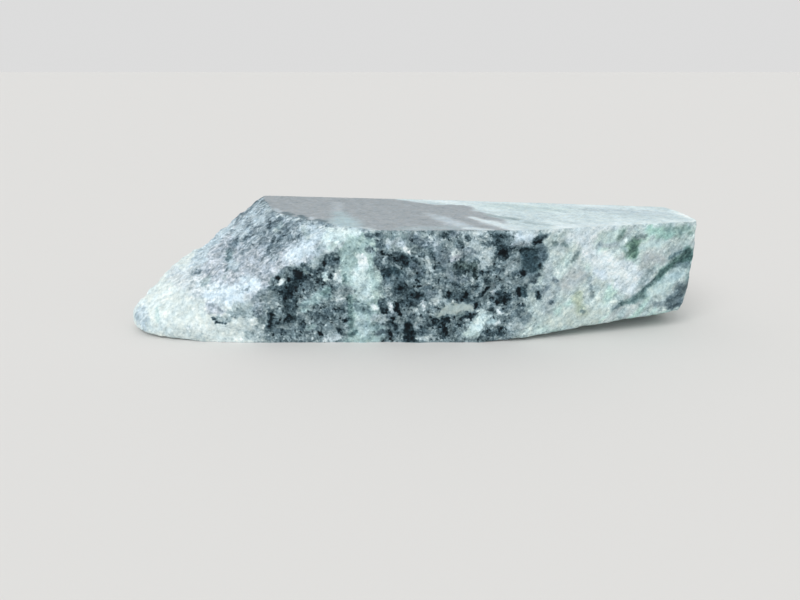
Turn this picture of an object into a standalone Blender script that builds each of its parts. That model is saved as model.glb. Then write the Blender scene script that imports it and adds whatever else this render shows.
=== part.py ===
"""Raw soapstone slab: one natural stone, sawn flat above and below, broken on every side.

Lengths are metres, +Z is up, +X is the slab's long direction and the face that is
split along the slab's length looks to -Y.  The slab is a block bounded by planes: the two
saw cuts and the planes along which the stone broke.  Its edges are then worn round, and its
broken faces are given their swells, lumps, ledges, grooves and hollows.
"""

import math

import bmesh
import bpy
from mathutils import Matrix, Vector, noise

THICKNESS = 0.0510          # between the two saw cuts
BLANK = 0.40                # side of the block that the planes are cut from
FACET = 0.0036              # aimed length of a facet's side on the broken faces
EDGE_WEAR = 0.0009          # how far the edges between broken faces are worn round

# Plan of the upright broken faces, met in turn counter-clockwise from the front.
FRONT_START = (-0.0860, 0.0000)
FRONT_BEND = (0.0555, 0.0000)
RIGHT_FRONT = (0.1336, 0.0186)
RIGHT_BACK = (0.1354, 0.0426)
BACK_RIGHT = (0.1344, 0.0521)
BACK_BEND = (0.0500, 0.0684)
BACK_LEFT = (-0.0748, 0.0860)
TIP = (-0.1274, 0.0225)
NOSE_SIDE = (-0.1228, 0.0125)
NOSE_FRONT = (-0.1140, 0.0048)

# The long slope that takes off the left end: two planes that meet the upper saw cut in a
# bent line, and the point near the tip that each runs down to.
SLOPE_TOP_FRONT = (-0.0150, 0.0000, 0.0510)
SLOPE_TOP_BEND = (-0.0602, 0.0400, 0.0510)
SLOPE_TOP_BACK = (-0.0740, 0.0864, 0.0510)
SLOPE_FRONT_FOOT = (-0.1214, 0.0184, 0.0112)
SLOPE_BACK_FOOT = (-0.1240, 0.0265, 0.0144)

# Smaller breaks: a point on each and the direction that it faces.
BREAKS = {
    "slope_corner": ((-0.0365, 0.0000, 0.0372), (-0.300, -0.760, 0.560)),
    "nose_top": ((-0.1258, 0.0265, 0.0138), (-0.850, -0.100, 0.470)),
    "nose_foot": ((-0.0960, 0.0100, 0.0000), (-0.075, -0.020, -0.997)),
    "right_end_above": ((0.1338, 0.0190, 0.0510), (0.985, -0.080, 0.150)),
    "right_end_below": ((0.1356, 0.0190, 0.0335), (0.985, -0.080, -0.160)),
    "right_underside": ((0.0400, 0.0000, 0.0000), (0.147, -0.276, -0.950)),
    "right_low_corner": ((0.1315, 0.0146, 0.0153), (0.620, -0.740, -0.270)),
    "right_top_corner": ((0.1356, 0.0350, 0.0503), (0.560, 0.120, 0.820)),
}

# Relief of each kind of face: heights of swells, lumps, grain grooves and ledges, and the
# direction in which its grain runs.
RELIEF = {
    "front": (0.0012, 0.0011, 0.0004, 0.0011, (0.55, 0.10, 0.83)),
    "right": (0.0012, 0.0004, 0.0008, 0.0004, (0.80, 0.15, 0.58)),
    "slope": (0.0016, 0.0009, 0.0009, 0.0009, (0.62, 0.40, 0.68)),
    "nose": (0.0010, 0.0005, 0.0004, 0.0002, (0.62, 0.40, 0.68)),
    "back": (0.0014, 0.0008, 0.0006, 0.0011, (0.90, 0.00, 0.43)),
    "under": (0.0006, 0.0004, 0.0002, 0.0004, (1.00, 0.00, 0.00)),
    "worn": (0.0002, 0.0001, 0.0001, 0.0000, (1.00, 0.00, 0.00)),
}
SWELL_SPAN = 0.034
LUMP_SPAN = 0.0105
GROOVE_SPAN = 0.0060
GROOVE_STRETCH = 6.0
LEDGE_SPAN = 0.019
LEDGES_PER_SPAN = 2.6
CUT_RIM = 0.006             # relief dies down over this height towards the saw cuts
CUT_RELIEF = 0.45           # share of the relief that is left at the cuts' edges
CUT_GAP = 0.0004            # least height of a broken face's own points off the cuts

# Hollows and lumps of the front and the slope: centre, radius and height.
MARKS = {
    "hollow_by_slope": ((-0.0440, 0.0000, 0.0265), 0.0085, -0.0021),
    "hollow_low_left": ((-0.0520, 0.0000, 0.0060), 0.0070, -0.0013),
    "hollow_band_side": ((-0.0040, 0.0000, 0.0330), 0.0090, -0.0018),
    "hollow_band_foot": ((-0.0030, 0.0000, 0.0080), 0.0070, -0.0014),
    "hollow_upper_right": ((0.0530, 0.0000, 0.0400), 0.0080, -0.0016),
    "hollow_mid_right": ((0.0400, 0.0000, 0.0225), 0.0060, -0.0013),
    "lump_cream": ((0.0240, 0.0000, 0.0150), 0.0085, 0.0010),
    "lump_pale_band": ((-0.0180, 0.0000, 0.0300), 0.0100, 0.0009),
    "lump_front_top": ((0.0200, 0.0000, 0.0420), 0.0120, 0.0007),
    "lump_slope_foot": ((-0.0950, 0.0120, 0.0170), 0.0130, 0.0010),
    "step_slope_mid": ((-0.0620, 0.0200, 0.0330), 0.0110, 0.0012),
    "hollow_slope_top": ((-0.0640, 0.0480, 0.0420), 0.0120, -0.0013),
    "hollow_slope_back": ((-0.1000, 0.0480, 0.0310), 0.0110, -0.0010),
}

# The seam of softer green stone that runs up across the right end.
SEAM_START = Vector((0.0930, 0.0090, 0.0130))
SEAM_END = Vector((0.1330, 0.0190, 0.0350))
SEAM_WIDTH = 0.0032
SEAM_DEPTH = 0.0008

STONE_COLOR = (0.50, 0.56, 0.56, 1.0)
STONE_ROUGHNESS = 0.62


def wall(start, end):
    """Point and outward direction of an upright plane over the line from start to end."""
    return (start[0], start[1], 0.0), (end[1] - start[1], start[0] - end[0], 0.0)


def through(a, b, c):
    """Point and upward direction of the plane through three points."""
    a, b, c = Vector(a), Vector(b), Vector(c)
    direction = (b - a).cross(c - a)
    if direction.z < 0.0:
        direction.negate()
    return a, direction


def broken_faces():
    """Every plane along which the stone broke, with the kind of relief it carries."""
    faces = [
        ("front", wall(FRONT_START, FRONT_BEND)),
        ("right", wall(FRONT_BEND, RIGHT_FRONT)),
        ("right", BREAKS["right_end_above"]),
        ("right", BREAKS["right_end_below"]),
        ("back", wall(RIGHT_BACK, BACK_RIGHT)),
        ("back", wall(BACK_RIGHT, BACK_BEND)),
        ("back", wall(BACK_BEND, BACK_LEFT)),
        ("back", wall(BACK_LEFT, TIP)),
        ("nose", wall(TIP, NOSE_SIDE)),
        ("nose", wall(NOSE_SIDE, NOSE_FRONT)),
        ("nose", wall(NOSE_FRONT, FRONT_START)),
        ("slope", through(SLOPE_TOP_FRONT, SLOPE_TOP_BEND, SLOPE_FRONT_FOOT)),
        ("slope", through(SLOPE_TOP_BEND, SLOPE_TOP_BACK, SLOPE_BACK_FOOT)),
        ("slope", BREAKS["slope_corner"]),
        ("nose", BREAKS["nose_top"]),
        ("under", BREAKS["nose_foot"]),
        ("under", BREAKS["right_underside"]),
        ("under", BREAKS["right_low_corner"]),
        ("worn", BREAKS["right_top_corner"]),
    ]
    return [(kind, Vector(point), Vector(facing).normalized()) for kind, (point, facing) in faces]


def cut_block(faces):
    """The block left when a blank of the slab's thickness is cut by every plane."""
    bm = bmesh.new()
    seat = Matrix.Translation((0.0, 0.0, THICKNESS / 2)) @ Matrix.Diagonal((BLANK, BLANK, THICKNESS, 1.0))
    bmesh.ops.create_cube(bm, size=1.0, matrix=seat)
    for _, point, facing in faces:
        parts = bm.verts[:] + bm.edges[:] + bm.faces[:]
        made = bmesh.ops.bisect_plane(
            bm, geom=parts, dist=1e-6, plane_co=point, plane_no=facing, clear_outer=True)
        rim = [e for e in made["geom_cut"] if isinstance(e, bmesh.types.BMEdge)]
        bmesh.ops.holes_fill(bm, edges=rim, sides=0)
    bmesh.ops.recalc_face_normals(bm, faces=bm.faces[:])
    return bm


def is_saw_cut(face):
    """True for a face that lies in the upper or the lower saw cut."""
    return abs(face.normal.z) > 0.9999


def divide(bm, length):
    """Split the broken faces into even triangles with sides of about the given length."""
    cuts = [f for f in bm.faces if is_saw_cut(f)]
    bmesh.ops.delete(bm, geom=cuts, context="FACES_ONLY")
    bmesh.ops.triangulate(bm, faces=bm.faces[:])
    for _ in range(14):
        long_edges = [e for e in bm.edges if e.calc_length() > 1.33 * length]
        if not long_edges:
            break
        bmesh.ops.subdivide_edges(bm, edges=long_edges, cuts=1)
        bmesh.ops.triangulate(bm, faces=bm.faces[:])
        even_out(bm)
    even_out(bm)


def even_out(bm):
    """Turn the diagonals and slide the points inside each flat face, so its triangles even out."""
    for _ in range(2):
        flat = [e for e in bm.edges if len(e.link_faces) == 2 and e.calc_face_angle() < 1e-3]
        bmesh.ops.beautify_fill(bm, faces=bm.faces[:], edges=flat)
        inside = set(flat_points(bm))
        moved = {}
        for v in inside:
            ring = [e.other_vert(v).co for e in v.link_edges]
            moved[v] = v.co.lerp(sum(ring, Vector()) / len(ring), 0.6)
        for v, place in moved.items():
            v.co = place


def flat_points(bm):
    """Points with one flat face all round them."""
    for v in bm.verts:
        edges = v.link_edges
        if all(len(e.link_faces) == 2 and e.calc_face_angle() < 1e-3 for e in edges):
            yield v


def worn_height(point, faces):
    """Soft greatest distance of a point outside the planes, and each plane's share in it."""
    outs = [(point - place).dot(facing) for _, place, facing in faces]
    top = max(outs)
    shares = [math.exp((out - top) / EDGE_WEAR) for out in outs]
    total = sum(shares)
    return top + EDGE_WEAR * math.log(total), [s / total for s in shares]


def ledges(value):
    """A staircase with softened risers, from a smooth value."""
    step = math.floor(value)
    part = value - step
    rise = min(max((part - 0.35) / 0.3, 0.0), 1.0)
    return step + rise * rise * (3.0 - 2.0 * rise) - value


def face_relief(point, kind):
    """Height of a broken face's relief above its plane."""
    swell, lump, groove, ledge, grain = RELIEF[kind]
    grain = Vector(grain).normalized()
    along = point.dot(grain)
    across = point - grain * along
    stretched = across / GROOVE_SPAN + grain * (along / (GROOVE_SPAN * GROOVE_STRETCH))
    height = swell * noise.noise(point / SWELL_SPAN + Vector((7.3, 1.1, 4.7)))
    height += lump * noise.fractal(point / LUMP_SPAN, 0.9, 2.1, 2)
    height += groove * noise.noise(stretched + Vector((2.0, 9.0, 5.0)))
    broad = noise.noise(point / LEDGE_SPAN + Vector((3.9, 8.2, 0.4)))
    return height + ledge * ledges(broad * LEDGES_PER_SPAN)


def mark_relief(point):
    """Height that the named hollows, lumps and the green seam add."""
    height = 0.0
    for centre, radius, rise in MARKS.values():
        wobble = 1.0 + 0.35 * noise.noise(point / 0.006 + Vector(centre) * 90.0)
        far = (point - Vector(centre)).length / (radius * wobble)
        if far < 1.0:
            height += rise * (1.0 - far * far) ** 2
    run = SEAM_END - SEAM_START
    part = min(max((point - SEAM_START).dot(run) / run.length_squared, 0.0), 1.0)
    off = (point - SEAM_START - run * part).length / SEAM_WIDTH
    return height - SEAM_DEPTH * part * math.exp(-off * off)


def shape_point(point, faces):
    """Where a point of the cut block lies on the worn and broken stone."""
    place = point.copy()
    held = point.z < 1e-6 or point.z > THICKNESS - 1e-6
    for _ in range(4):
        height, shares = worn_height(place, faces)
        facing = sum((face[2] * s for face, s in zip(faces, shares)), Vector())
        if held:
            facing.z = 0.0
        place -= facing * (height / max(facing.length_squared, 1e-4))
    height = mark_relief(place)
    for (kind, _, _), share in zip(faces, shares):
        if share > 1e-3:
            height += share * face_relief(place, kind)
    near_cut = min(place.z, THICKNESS - place.z) / CUT_RIM
    height *= CUT_RELIEF + (1.0 - CUT_RELIEF) * min(near_cut, 1.0)
    if held:
        place += facing * (height / facing.length_squared)
        place.z = point.z
    else:
        place += facing.normalized() * height
        place.z = min(max(place.z, CUT_GAP), THICKNESS - CUT_GAP)
    return place


def close_saw_cuts(bm):
    """Close the upper and the lower rim with one flat face each."""
    for level in (0.0, THICKNESS):
        rim = [e for e in bm.edges if e.is_boundary and abs(e.verts[0].co.z - level) < 1e-6]
        bmesh.ops.edgeloop_fill(bm, edges=rim)
    bmesh.ops.recalc_face_normals(bm, faces=bm.faces[:])


def set_origin(bm):
    """Put the origin under the middle of the stone, on the plane that it rests on."""
    xs = [v.co.x for v in bm.verts]
    ys = [v.co.y for v in bm.verts]
    middle = Vector(((min(xs) + max(xs)) / 2, (min(ys) + max(ys)) / 2, 0.0))
    bmesh.ops.translate(bm, verts=bm.verts[:], vec=-middle)


def stone_material():
    """Plain soapstone, matt with a faint waxy sheen."""
    material = bpy.data.materials.new("soapstone")
    material.use_nodes = True
    shader = material.node_tree.nodes["Principled BSDF"]
    shader.inputs["Base Color"].default_value = STONE_COLOR
    shader.inputs["Roughness"].default_value = STONE_ROUGHNESS
    shader.inputs["Metallic"].default_value = 0.0
    material.diffuse_color = STONE_COLOR
    return material


def main():
    """Build the slab as one closed solid."""
    for old in list(bpy.data.objects):
        bpy.data.objects.remove(old, do_unlink=True)
    faces = broken_faces()
    bm = cut_block(faces)
    divide(bm, FACET)
    for v in bm.verts:
        v.co = shape_point(v.co, faces)
    close_saw_cuts(bm)
    set_origin(bm)
    mesh = bpy.data.meshes.new("soapstone_slab")
    bm.to_mesh(mesh)
    bm.free()
    mesh.materials.append(stone_material())
    slab = bpy.data.objects.new("soapstone_slab", mesh)
    bpy.context.scene.collection.objects.link(slab)


main()
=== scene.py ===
"""Looks of the raw soapstone slab: its broken and sawn surfaces, its colours and its studio.

The slab is one piece.  Its fine surface is the CAD solid's own surface worked out at a closer
spacing, so it lies in the solid's place.  The form, the studio and the camera are in metres; the
stone's zones, markings and textures are in millimetres.
"""

import math

import bmesh
import bpy
import numpy as np
from mathutils import Matrix, Vector, noise
from mathutils.kdtree import KDTree

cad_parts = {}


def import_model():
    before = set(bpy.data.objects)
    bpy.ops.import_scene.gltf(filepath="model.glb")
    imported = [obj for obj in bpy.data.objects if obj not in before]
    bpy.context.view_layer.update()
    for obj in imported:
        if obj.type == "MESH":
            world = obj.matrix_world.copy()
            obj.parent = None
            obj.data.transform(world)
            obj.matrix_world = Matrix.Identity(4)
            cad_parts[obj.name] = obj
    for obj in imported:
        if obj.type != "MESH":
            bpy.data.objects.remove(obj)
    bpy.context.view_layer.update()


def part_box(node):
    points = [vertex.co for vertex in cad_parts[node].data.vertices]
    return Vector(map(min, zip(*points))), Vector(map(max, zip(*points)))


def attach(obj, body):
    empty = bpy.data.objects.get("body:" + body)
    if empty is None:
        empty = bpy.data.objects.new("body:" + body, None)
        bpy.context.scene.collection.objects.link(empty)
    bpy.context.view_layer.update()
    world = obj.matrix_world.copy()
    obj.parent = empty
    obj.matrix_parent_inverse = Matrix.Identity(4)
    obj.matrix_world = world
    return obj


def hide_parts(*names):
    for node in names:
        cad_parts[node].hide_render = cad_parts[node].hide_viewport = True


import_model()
NODE = "soapstone_slab"
MM = 0.001

# ---------------------------------------------------------------- the stone's form, as in CAD
THICKNESS = 0.0510
BLANK = 0.40
FRONT_FACET = 0.0025        # spacing of the points on the faces that carry the markings
BACK_FACET = 0.0050
CUT_FACET = 0.0064          # spacing inside the upper saw cut
SEAT_FACET = 0.0110         # spacing inside the lower one, on which the slab lies
FINER = 2                   # times that each facet's sides are halved
DIVIDE_ROUNDS = 14          # most times that the long edges are split
LONG_EDGE = 1.33            # an edge is long past this share of its spacing
FLAT = 1e-3                 # edges bent by less than this angle lie inside a flat face
SLIDE = 0.6                 # how far a point moves towards the middle of its neighbours
EDGE_WEAR = 0.0009
WEAR_STEPS = 4
LEAST_SHARE = 1e-2          # a face with a smaller share adds no relief
LEAST_SQUARE = 1e-4         # keeps a step short where facings cancel out
TOUCH = 1e-6                # points nearer than this to a plane lie in it
LEVEL = 0.9999              # least upright part of a level face's direction
TURNED_AWAY = 0.3           # faces turned back or down by more than this are little seen
MIDDLE = Vector((0.00499, 0.04240, 0.0))    # the plan's own origin, seen from the frame's

FRONT_START = (-0.0860, 0.0000)
FRONT_BEND = (0.0555, 0.0000)
RIGHT_FRONT = (0.1336, 0.0186)
RIGHT_BACK = (0.1354, 0.0426)
BACK_RIGHT = (0.1344, 0.0521)
BACK_BEND = (0.0500, 0.0684)
BACK_LEFT = (-0.0748, 0.0860)
TIP = (-0.1274, 0.0225)
NOSE_SIDE = (-0.1228, 0.0125)
NOSE_FRONT = (-0.1140, 0.0048)

SLOPE_TOP_FRONT = (-0.0150, 0.0000, 0.0510)
SLOPE_TOP_BEND = (-0.0602, 0.0400, 0.0510)
SLOPE_TOP_BACK = (-0.0740, 0.0864, 0.0510)
SLOPE_FRONT_FOOT = (-0.1214, 0.0184, 0.0112)
SLOPE_BACK_FOOT = (-0.1240, 0.0265, 0.0144)

# Each smaller break: a point on its plane and the way out of the stone.
BREAKS = {
    "slope_corner": ((-0.0365, 0.0000, 0.0372), (-0.300, -0.760, 0.560)),
    "nose_top": ((-0.1258, 0.0265, 0.0138), (-0.850, -0.100, 0.470)),
    "nose_foot": ((-0.0960, 0.0100, 0.0000), (-0.075, -0.020, -0.997)),
    "right_end_above": ((0.1338, 0.0190, 0.0510), (0.985, -0.080, 0.150)),
    "right_end_below": ((0.1356, 0.0190, 0.0335), (0.985, -0.080, -0.160)),
    "right_underside": ((0.0400, 0.0000, 0.0000), (0.147, -0.276, -0.950)),
    "right_low_corner": ((0.1315, 0.0146, 0.0153), (0.620, -0.740, -0.270)),
    "right_top_corner": ((0.1356, 0.0350, 0.0503), (0.560, 0.120, 0.820)),
}

# Each kind of broken face: heights of its swell, lumps, grooves and ledges, and its grain's run.
RELIEF = {
    "front": (0.0012, 0.0011, 0.0004, 0.0011, (0.55, 0.10, 0.83)),
    "right": (0.0012, 0.0004, 0.0008, 0.0004, (0.80, 0.15, 0.58)),
    "slope": (0.0016, 0.0009, 0.0009, 0.0009, (0.62, 0.40, 0.68)),
    "nose": (0.0010, 0.0005, 0.0004, 0.0002, (0.62, 0.40, 0.68)),
    "back": (0.0014, 0.0008, 0.0006, 0.0011, (0.90, 0.00, 0.43)),
    "under": (0.0006, 0.0004, 0.0002, 0.0004, (1.00, 0.00, 0.00)),
    "worn": (0.0002, 0.0001, 0.0001, 0.0000, (1.00, 0.00, 0.00)),
}
SWELL_SPAN = 0.034
SWELL_SHIFT = Vector((7.3, 1.1, 4.7))
LUMP_SPAN = 0.0105
LUMP_NOISE = (0.9, 2.1, 4)  # how fast finer lumps fall off, how much finer, how many times
GROOVE_SPAN = 0.0060
GROOVE_STRETCH = 6.0
GROOVE_NOISE = (1.0, 2.3, 2)
GROOVE_SHIFT = Vector((2.0, 9.0, 5.0))
LEDGE_SPAN = 0.019
LEDGE_SHIFT = Vector((3.9, 8.2, 0.4))
LEDGES_PER_SPAN = 2.6
RISER_START = 0.35          # where a ledge's riser begins, as a share of its step
RISER_WIDTH = 0.30
CUT_RIM = 0.006
CUT_RELIEF = 0.45
CUT_GAP = 0.0004
RIM_REACH = 0.004           # how far a saw cut's inner points follow its rim

# Each hollow or lump: its centre, its radius and the height that it adds.
HOLLOWS = {
    "hollow_by_slope": ((-0.0440, 0.0000, 0.0265), 0.0085, -0.0021),
    "hollow_low_left": ((-0.0520, 0.0000, 0.0060), 0.0070, -0.0013),
    "hollow_band_side": ((-0.0040, 0.0000, 0.0330), 0.0090, -0.0018),
    "hollow_band_foot": ((-0.0030, 0.0000, 0.0080), 0.0070, -0.0014),
    "hollow_upper_right": ((0.0530, 0.0000, 0.0400), 0.0080, -0.0016),
    "hollow_mid_right": ((0.0400, 0.0000, 0.0225), 0.0060, -0.0013),
    "lump_cream": ((0.0240, 0.0000, 0.0150), 0.0085, 0.0010),
    "lump_pale_band": ((-0.0180, 0.0000, 0.0300), 0.0100, 0.0009),
    "lump_front_top": ((0.0200, 0.0000, 0.0420), 0.0120, 0.0007),
    "lump_slope_foot": ((-0.0950, 0.0120, 0.0170), 0.0130, 0.0010),
    "step_slope_mid": ((-0.0620, 0.0200, 0.0330), 0.0110, 0.0012),
    "hollow_slope_top": ((-0.0640, 0.0480, 0.0420), 0.0120, -0.0013),
    "hollow_slope_back": ((-0.1000, 0.0480, 0.0310), 0.0110, -0.0010),
}
RAGGED = 0.35               # how unevenly a hollow's rim runs
RAGGED_SPAN = 0.006
RAGGED_SHIFT = 90.0         # sets each hollow's rim apart from the others'
RAGGED_REACH = 1.6          # the farthest that a rim can come, in radii
SEAM_START = Vector((0.0930, 0.0090, 0.0130))
SEAM_END = Vector((0.1330, 0.0190, 0.0350))
SEAM_WIDTH = 0.0032
SEAM_DEPTH = 0.0008

# ---------------------------------------------------------------- camera, as it frames the slab
PICTURE = (800, 600)
FOCAL_PIXELS = 700.0
HORIZON_PIXEL = 69.0
CAMERA_HEIGHT = 0.11587
CAMERA_TO_FRONT = 0.29061   # level distance from the lens to the slab's front face
SENSOR_MM = 36.0
NEAREST = 0.01              # nothing nearer to the lens than this is seen

# ---------------------------------------------------------------- studio
SKY_LIGHT = 0.72
LAMP_LIGHT = 1.45
LAMP_SPREAD = math.radians(35.0)
LAMP_FROM = (-0.45, -0.85, 0.95)
SKY_COLOR = (1.0, 1.0, 1.0, 1.0)
FLOOR_COLOR = (0.72, 0.715, 0.70, 1.0)
FLOOR_ROUGHNESS = 0.8
FLOOR_SHINE = 0.2
FLOOR_HALF = 30.0


# ---------------------------------------------------------------- the stone's broken surface
def wall(start, end):
    """Point and outward direction of an upright plane over the line from start to end."""
    return (start[0], start[1], 0.0), (end[1] - start[1], start[0] - end[0], 0.0)


def through(a, b, c):
    """Point and upward direction of the plane through three points."""
    a, b, c = Vector(a), Vector(b), Vector(c)
    direction = (b - a).cross(c - a)
    if direction.z < 0.0:
        direction.negate()
    return a, direction


def broken_faces():
    """Every plane along which the stone broke, with the kind of relief it carries."""
    faces = [
        ("front", wall(FRONT_START, FRONT_BEND)),
        ("right", wall(FRONT_BEND, RIGHT_FRONT)),
        ("right", BREAKS["right_end_above"]),
        ("right", BREAKS["right_end_below"]),
        ("back", wall(RIGHT_BACK, BACK_RIGHT)),
        ("back", wall(BACK_RIGHT, BACK_BEND)),
        ("back", wall(BACK_BEND, BACK_LEFT)),
        ("back", wall(BACK_LEFT, TIP)),
        ("nose", wall(TIP, NOSE_SIDE)),
        ("nose", wall(NOSE_SIDE, NOSE_FRONT)),
        ("nose", wall(NOSE_FRONT, FRONT_START)),
        ("slope", through(SLOPE_TOP_FRONT, SLOPE_TOP_BEND, SLOPE_FRONT_FOOT)),
        ("slope", through(SLOPE_TOP_BEND, SLOPE_TOP_BACK, SLOPE_BACK_FOOT)),
        ("slope", BREAKS["slope_corner"]),
        ("nose", BREAKS["nose_top"]),
        ("under", BREAKS["nose_foot"]),
        ("under", BREAKS["right_underside"]),
        ("under", BREAKS["right_low_corner"]),
        ("worn", BREAKS["right_top_corner"]),
    ]
    return [(kind, Vector(point), Vector(facing).normalized()) for kind, (point, facing) in faces]


def cut_block(faces):
    """The block left when a blank of the slab's thickness is cut by every plane."""
    bm = bmesh.new()
    seat = Matrix.Translation((0.0, 0.0, THICKNESS / 2)) @ Matrix.Diagonal((BLANK, BLANK, THICKNESS, 1.0))
    bmesh.ops.create_cube(bm, size=1.0, matrix=seat)
    for _, point, facing in faces:
        parts = bm.verts[:] + bm.edges[:] + bm.faces[:]
        made = bmesh.ops.bisect_plane(
            bm, geom=parts, dist=TOUCH, plane_co=point, plane_no=facing, clear_outer=True)
        rim = [e for e in made["geom_cut"] if isinstance(e, bmesh.types.BMEdge)]
        bmesh.ops.holes_fill(bm, edges=rim, sides=0)
    bmesh.ops.recalc_face_normals(bm, faces=bm.faces[:])
    return bm


def at_cut(place):
    """True for a point in the plane of either saw cut."""
    return place.z < TOUCH or place.z > THICKNESS - TOUCH


def inside_cut(edge):
    """True for an edge that runs across a saw cut, off its rim."""
    return all(abs(f.normal.z) > LEVEL for f in edge.link_faces)


def spacing(edge):
    """How far apart the points along an edge may be."""
    if inside_cut(edge):
        return CUT_FACET if edge.verts[0].co.z > THICKNESS / 2 else SEAT_FACET
    if all(f.normal.y > TURNED_AWAY or f.normal.z < -TURNED_AWAY for f in edge.link_faces):
        return BACK_FACET
    return FRONT_FACET


def divide(bm):
    """Split every face into even triangles, wider where less is seen, then halve them."""
    bmesh.ops.triangulate(bm, faces=bm.faces[:])
    for _ in range(DIVIDE_ROUNDS):
        bm.normal_update()
        long_edges = [e for e in bm.edges if e.calc_length() > LONG_EDGE * spacing(e)]
        if not long_edges:
            break
        bmesh.ops.subdivide_edges(bm, edges=long_edges, cuts=1)
        bmesh.ops.triangulate(bm, faces=bm.faces[:])
        even_out(bm)
    even_out(bm)
    for _ in range(FINER):
        bmesh.ops.subdivide_edges(bm, edges=bm.edges[:], cuts=1, use_grid_fill=True)


def even_out(bm):
    """Turn the diagonals and slide the points inside each flat face, so its triangles even out."""
    for _ in range(2):
        flat = [e for e in bm.edges if e.calc_face_angle() < FLAT]
        bmesh.ops.beautify_fill(bm, faces=bm.faces[:], edges=flat)
        moved = {}
        for v in bm.verts:
            if all(e.calc_face_angle() < FLAT for e in v.link_edges):
                ring = [e.other_vert(v).co for e in v.link_edges]
                moved[v] = v.co.lerp(sum(ring, Vector()) / len(ring), SLIDE)
        for v, place in moved.items():
            v.co = place


def wear_edges(places, held, faces):
    """Move points onto the worn stone; also give each one's facing and its share in each face."""
    spots = np.array([point for _, point, _ in faces])
    facings = np.array([facing for _, _, facing in faces])
    depths = (spots * facings).sum(1)
    places = places.copy()
    for _ in range(WEAR_STEPS):
        outs = places @ facings.T - depths
        top = outs.max(1, keepdims=True)
        shares = np.exp((outs - top) / EDGE_WEAR)
        total = shares.sum(1, keepdims=True)
        height = top + EDGE_WEAR * np.log(total)
        shares /= total
        facing = shares @ facings
        facing[held, 2] = 0.0
        square = np.maximum((facing ** 2).sum(1, keepdims=True), LEAST_SQUARE)
        places -= facing * height / square
    return places, facing, shares


def ledges(value):
    """A staircase with softened risers, from a smooth value."""
    step = math.floor(value)
    part = value - step
    rise = min(max((part - RISER_START) / RISER_WIDTH, 0.0), 1.0)
    return step + rise * rise * (3.0 - 2.0 * rise) - value


def face_relief(point, kind):
    """Height of a broken face's relief above its plane; its lumps go on to finer ones than in CAD."""
    swell, lump, groove, ledge, grain = RELIEF[kind]
    grain = Vector(grain).normalized()
    along = point.dot(grain)
    across = point - grain * along
    stretched = across / GROOVE_SPAN + grain * (along / (GROOVE_SPAN * GROOVE_STRETCH))
    height = swell * noise.noise(point / SWELL_SPAN + SWELL_SHIFT)
    height += lump * noise.fractal(point / LUMP_SPAN, *LUMP_NOISE)
    height += groove * noise.fractal(stretched + GROOVE_SHIFT, *GROOVE_NOISE)
    broad = noise.noise(point / LEDGE_SPAN + LEDGE_SHIFT)
    return height + ledge * ledges(broad * LEDGES_PER_SPAN)


def hollow_relief(point):
    """Height that the named hollows, lumps and the green seam add."""
    height = 0.0
    for centre, radius, rise in HOLLOWS.values():
        reach = (point - Vector(centre)).length / radius
        if reach < RAGGED_REACH:
            rim = noise.noise(point / RAGGED_SPAN + Vector(centre) * RAGGED_SHIFT)
            far = reach / (1.0 + RAGGED * rim)
            height += rise * max(1.0 - far * far, 0.0) ** 2
    run = SEAM_END - SEAM_START
    part = min(max((point - SEAM_START).dot(run) / run.length_squared, 0.0), 1.0)
    off = (point - SEAM_START - run * part).length / SEAM_WIDTH
    return height - SEAM_DEPTH * part * math.exp(-off * off)


def relief_heights(places, shares, faces):
    """Height of the whole relief at each point."""
    heights = np.empty(len(places))
    for i, place in enumerate(places):
        point = Vector(place)
        height = hollow_relief(point)
        for j in np.nonzero(shares[i] > LEAST_SHARE)[0]:
            height += shares[i, j] * face_relief(point, faces[j][0])
        heights[i] = height
    return heights


def follow_rim(places, start, rim, inner):
    """Slide a saw cut's inner points with the nearest point of its rim, less with distance."""
    tree = KDTree(len(rim))
    for i in rim:
        tree.insert(start[i], i)
    tree.balance()
    for i in inner:
        _, nearest, far = tree.find(start[i])
        places[i, :2] += (places[nearest, :2] - start[nearest, :2]) * math.exp(-far / RIM_REACH)


def stone_mesh():
    """The slab's surface before its grain, with each point's share in the kinds of face."""
    faces = broken_faces()
    bm = cut_block(faces)
    divide(bm)
    bm.verts.index_update()
    start = np.array([v.co for v in bm.verts])
    cut = np.array([at_cut(v.co) for v in bm.verts])
    broken = np.array([any(abs(f.normal.z) < LEVEL for f in v.link_faces) for v in bm.verts])
    worn, facing, shares = wear_edges(start[broken], cut[broken], faces)
    heights = relief_heights(worn, shares, faces)
    near_cut = np.clip(np.minimum(worn[:, 2], THICKNESS - worn[:, 2]) / CUT_RIM, 0.0, 1.0)
    heights *= CUT_RELIEF + (1.0 - CUT_RELIEF) * near_cut
    length = np.linalg.norm(facing, axis=1)
    step = np.where(cut[broken], heights / length ** 2, heights / length)
    worn += facing * step[:, None]
    places = start.copy()
    places[broken] = worn
    loose = broken & ~cut
    places[cut, 2] = start[cut, 2]
    places[loose, 2] = np.clip(places[loose, 2], CUT_GAP, THICKNESS - CUT_GAP)
    rim = np.nonzero(broken & cut)[0]
    follow_rim(places, start, rim, np.nonzero(cut & ~broken)[0])
    kinds = {kind: np.zeros(len(start)) for kind in RELIEF}
    for j, (kind, _, _) in enumerate(faces):
        kinds[kind][broken] += shares[:, j]
    kinds["sawn"] = np.where(broken, np.where(cut, 0.5, 0.0), 1.0)
    for v, place in zip(bm.verts, places):
        v.co = Vector(place) - MIDDLE
    bmesh.ops.recalc_face_normals(bm, faces=bm.faces[:])
    mesh = bpy.data.meshes.new("stone")
    bm.to_mesh(mesh)
    bm.free()
    return mesh, kinds


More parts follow.
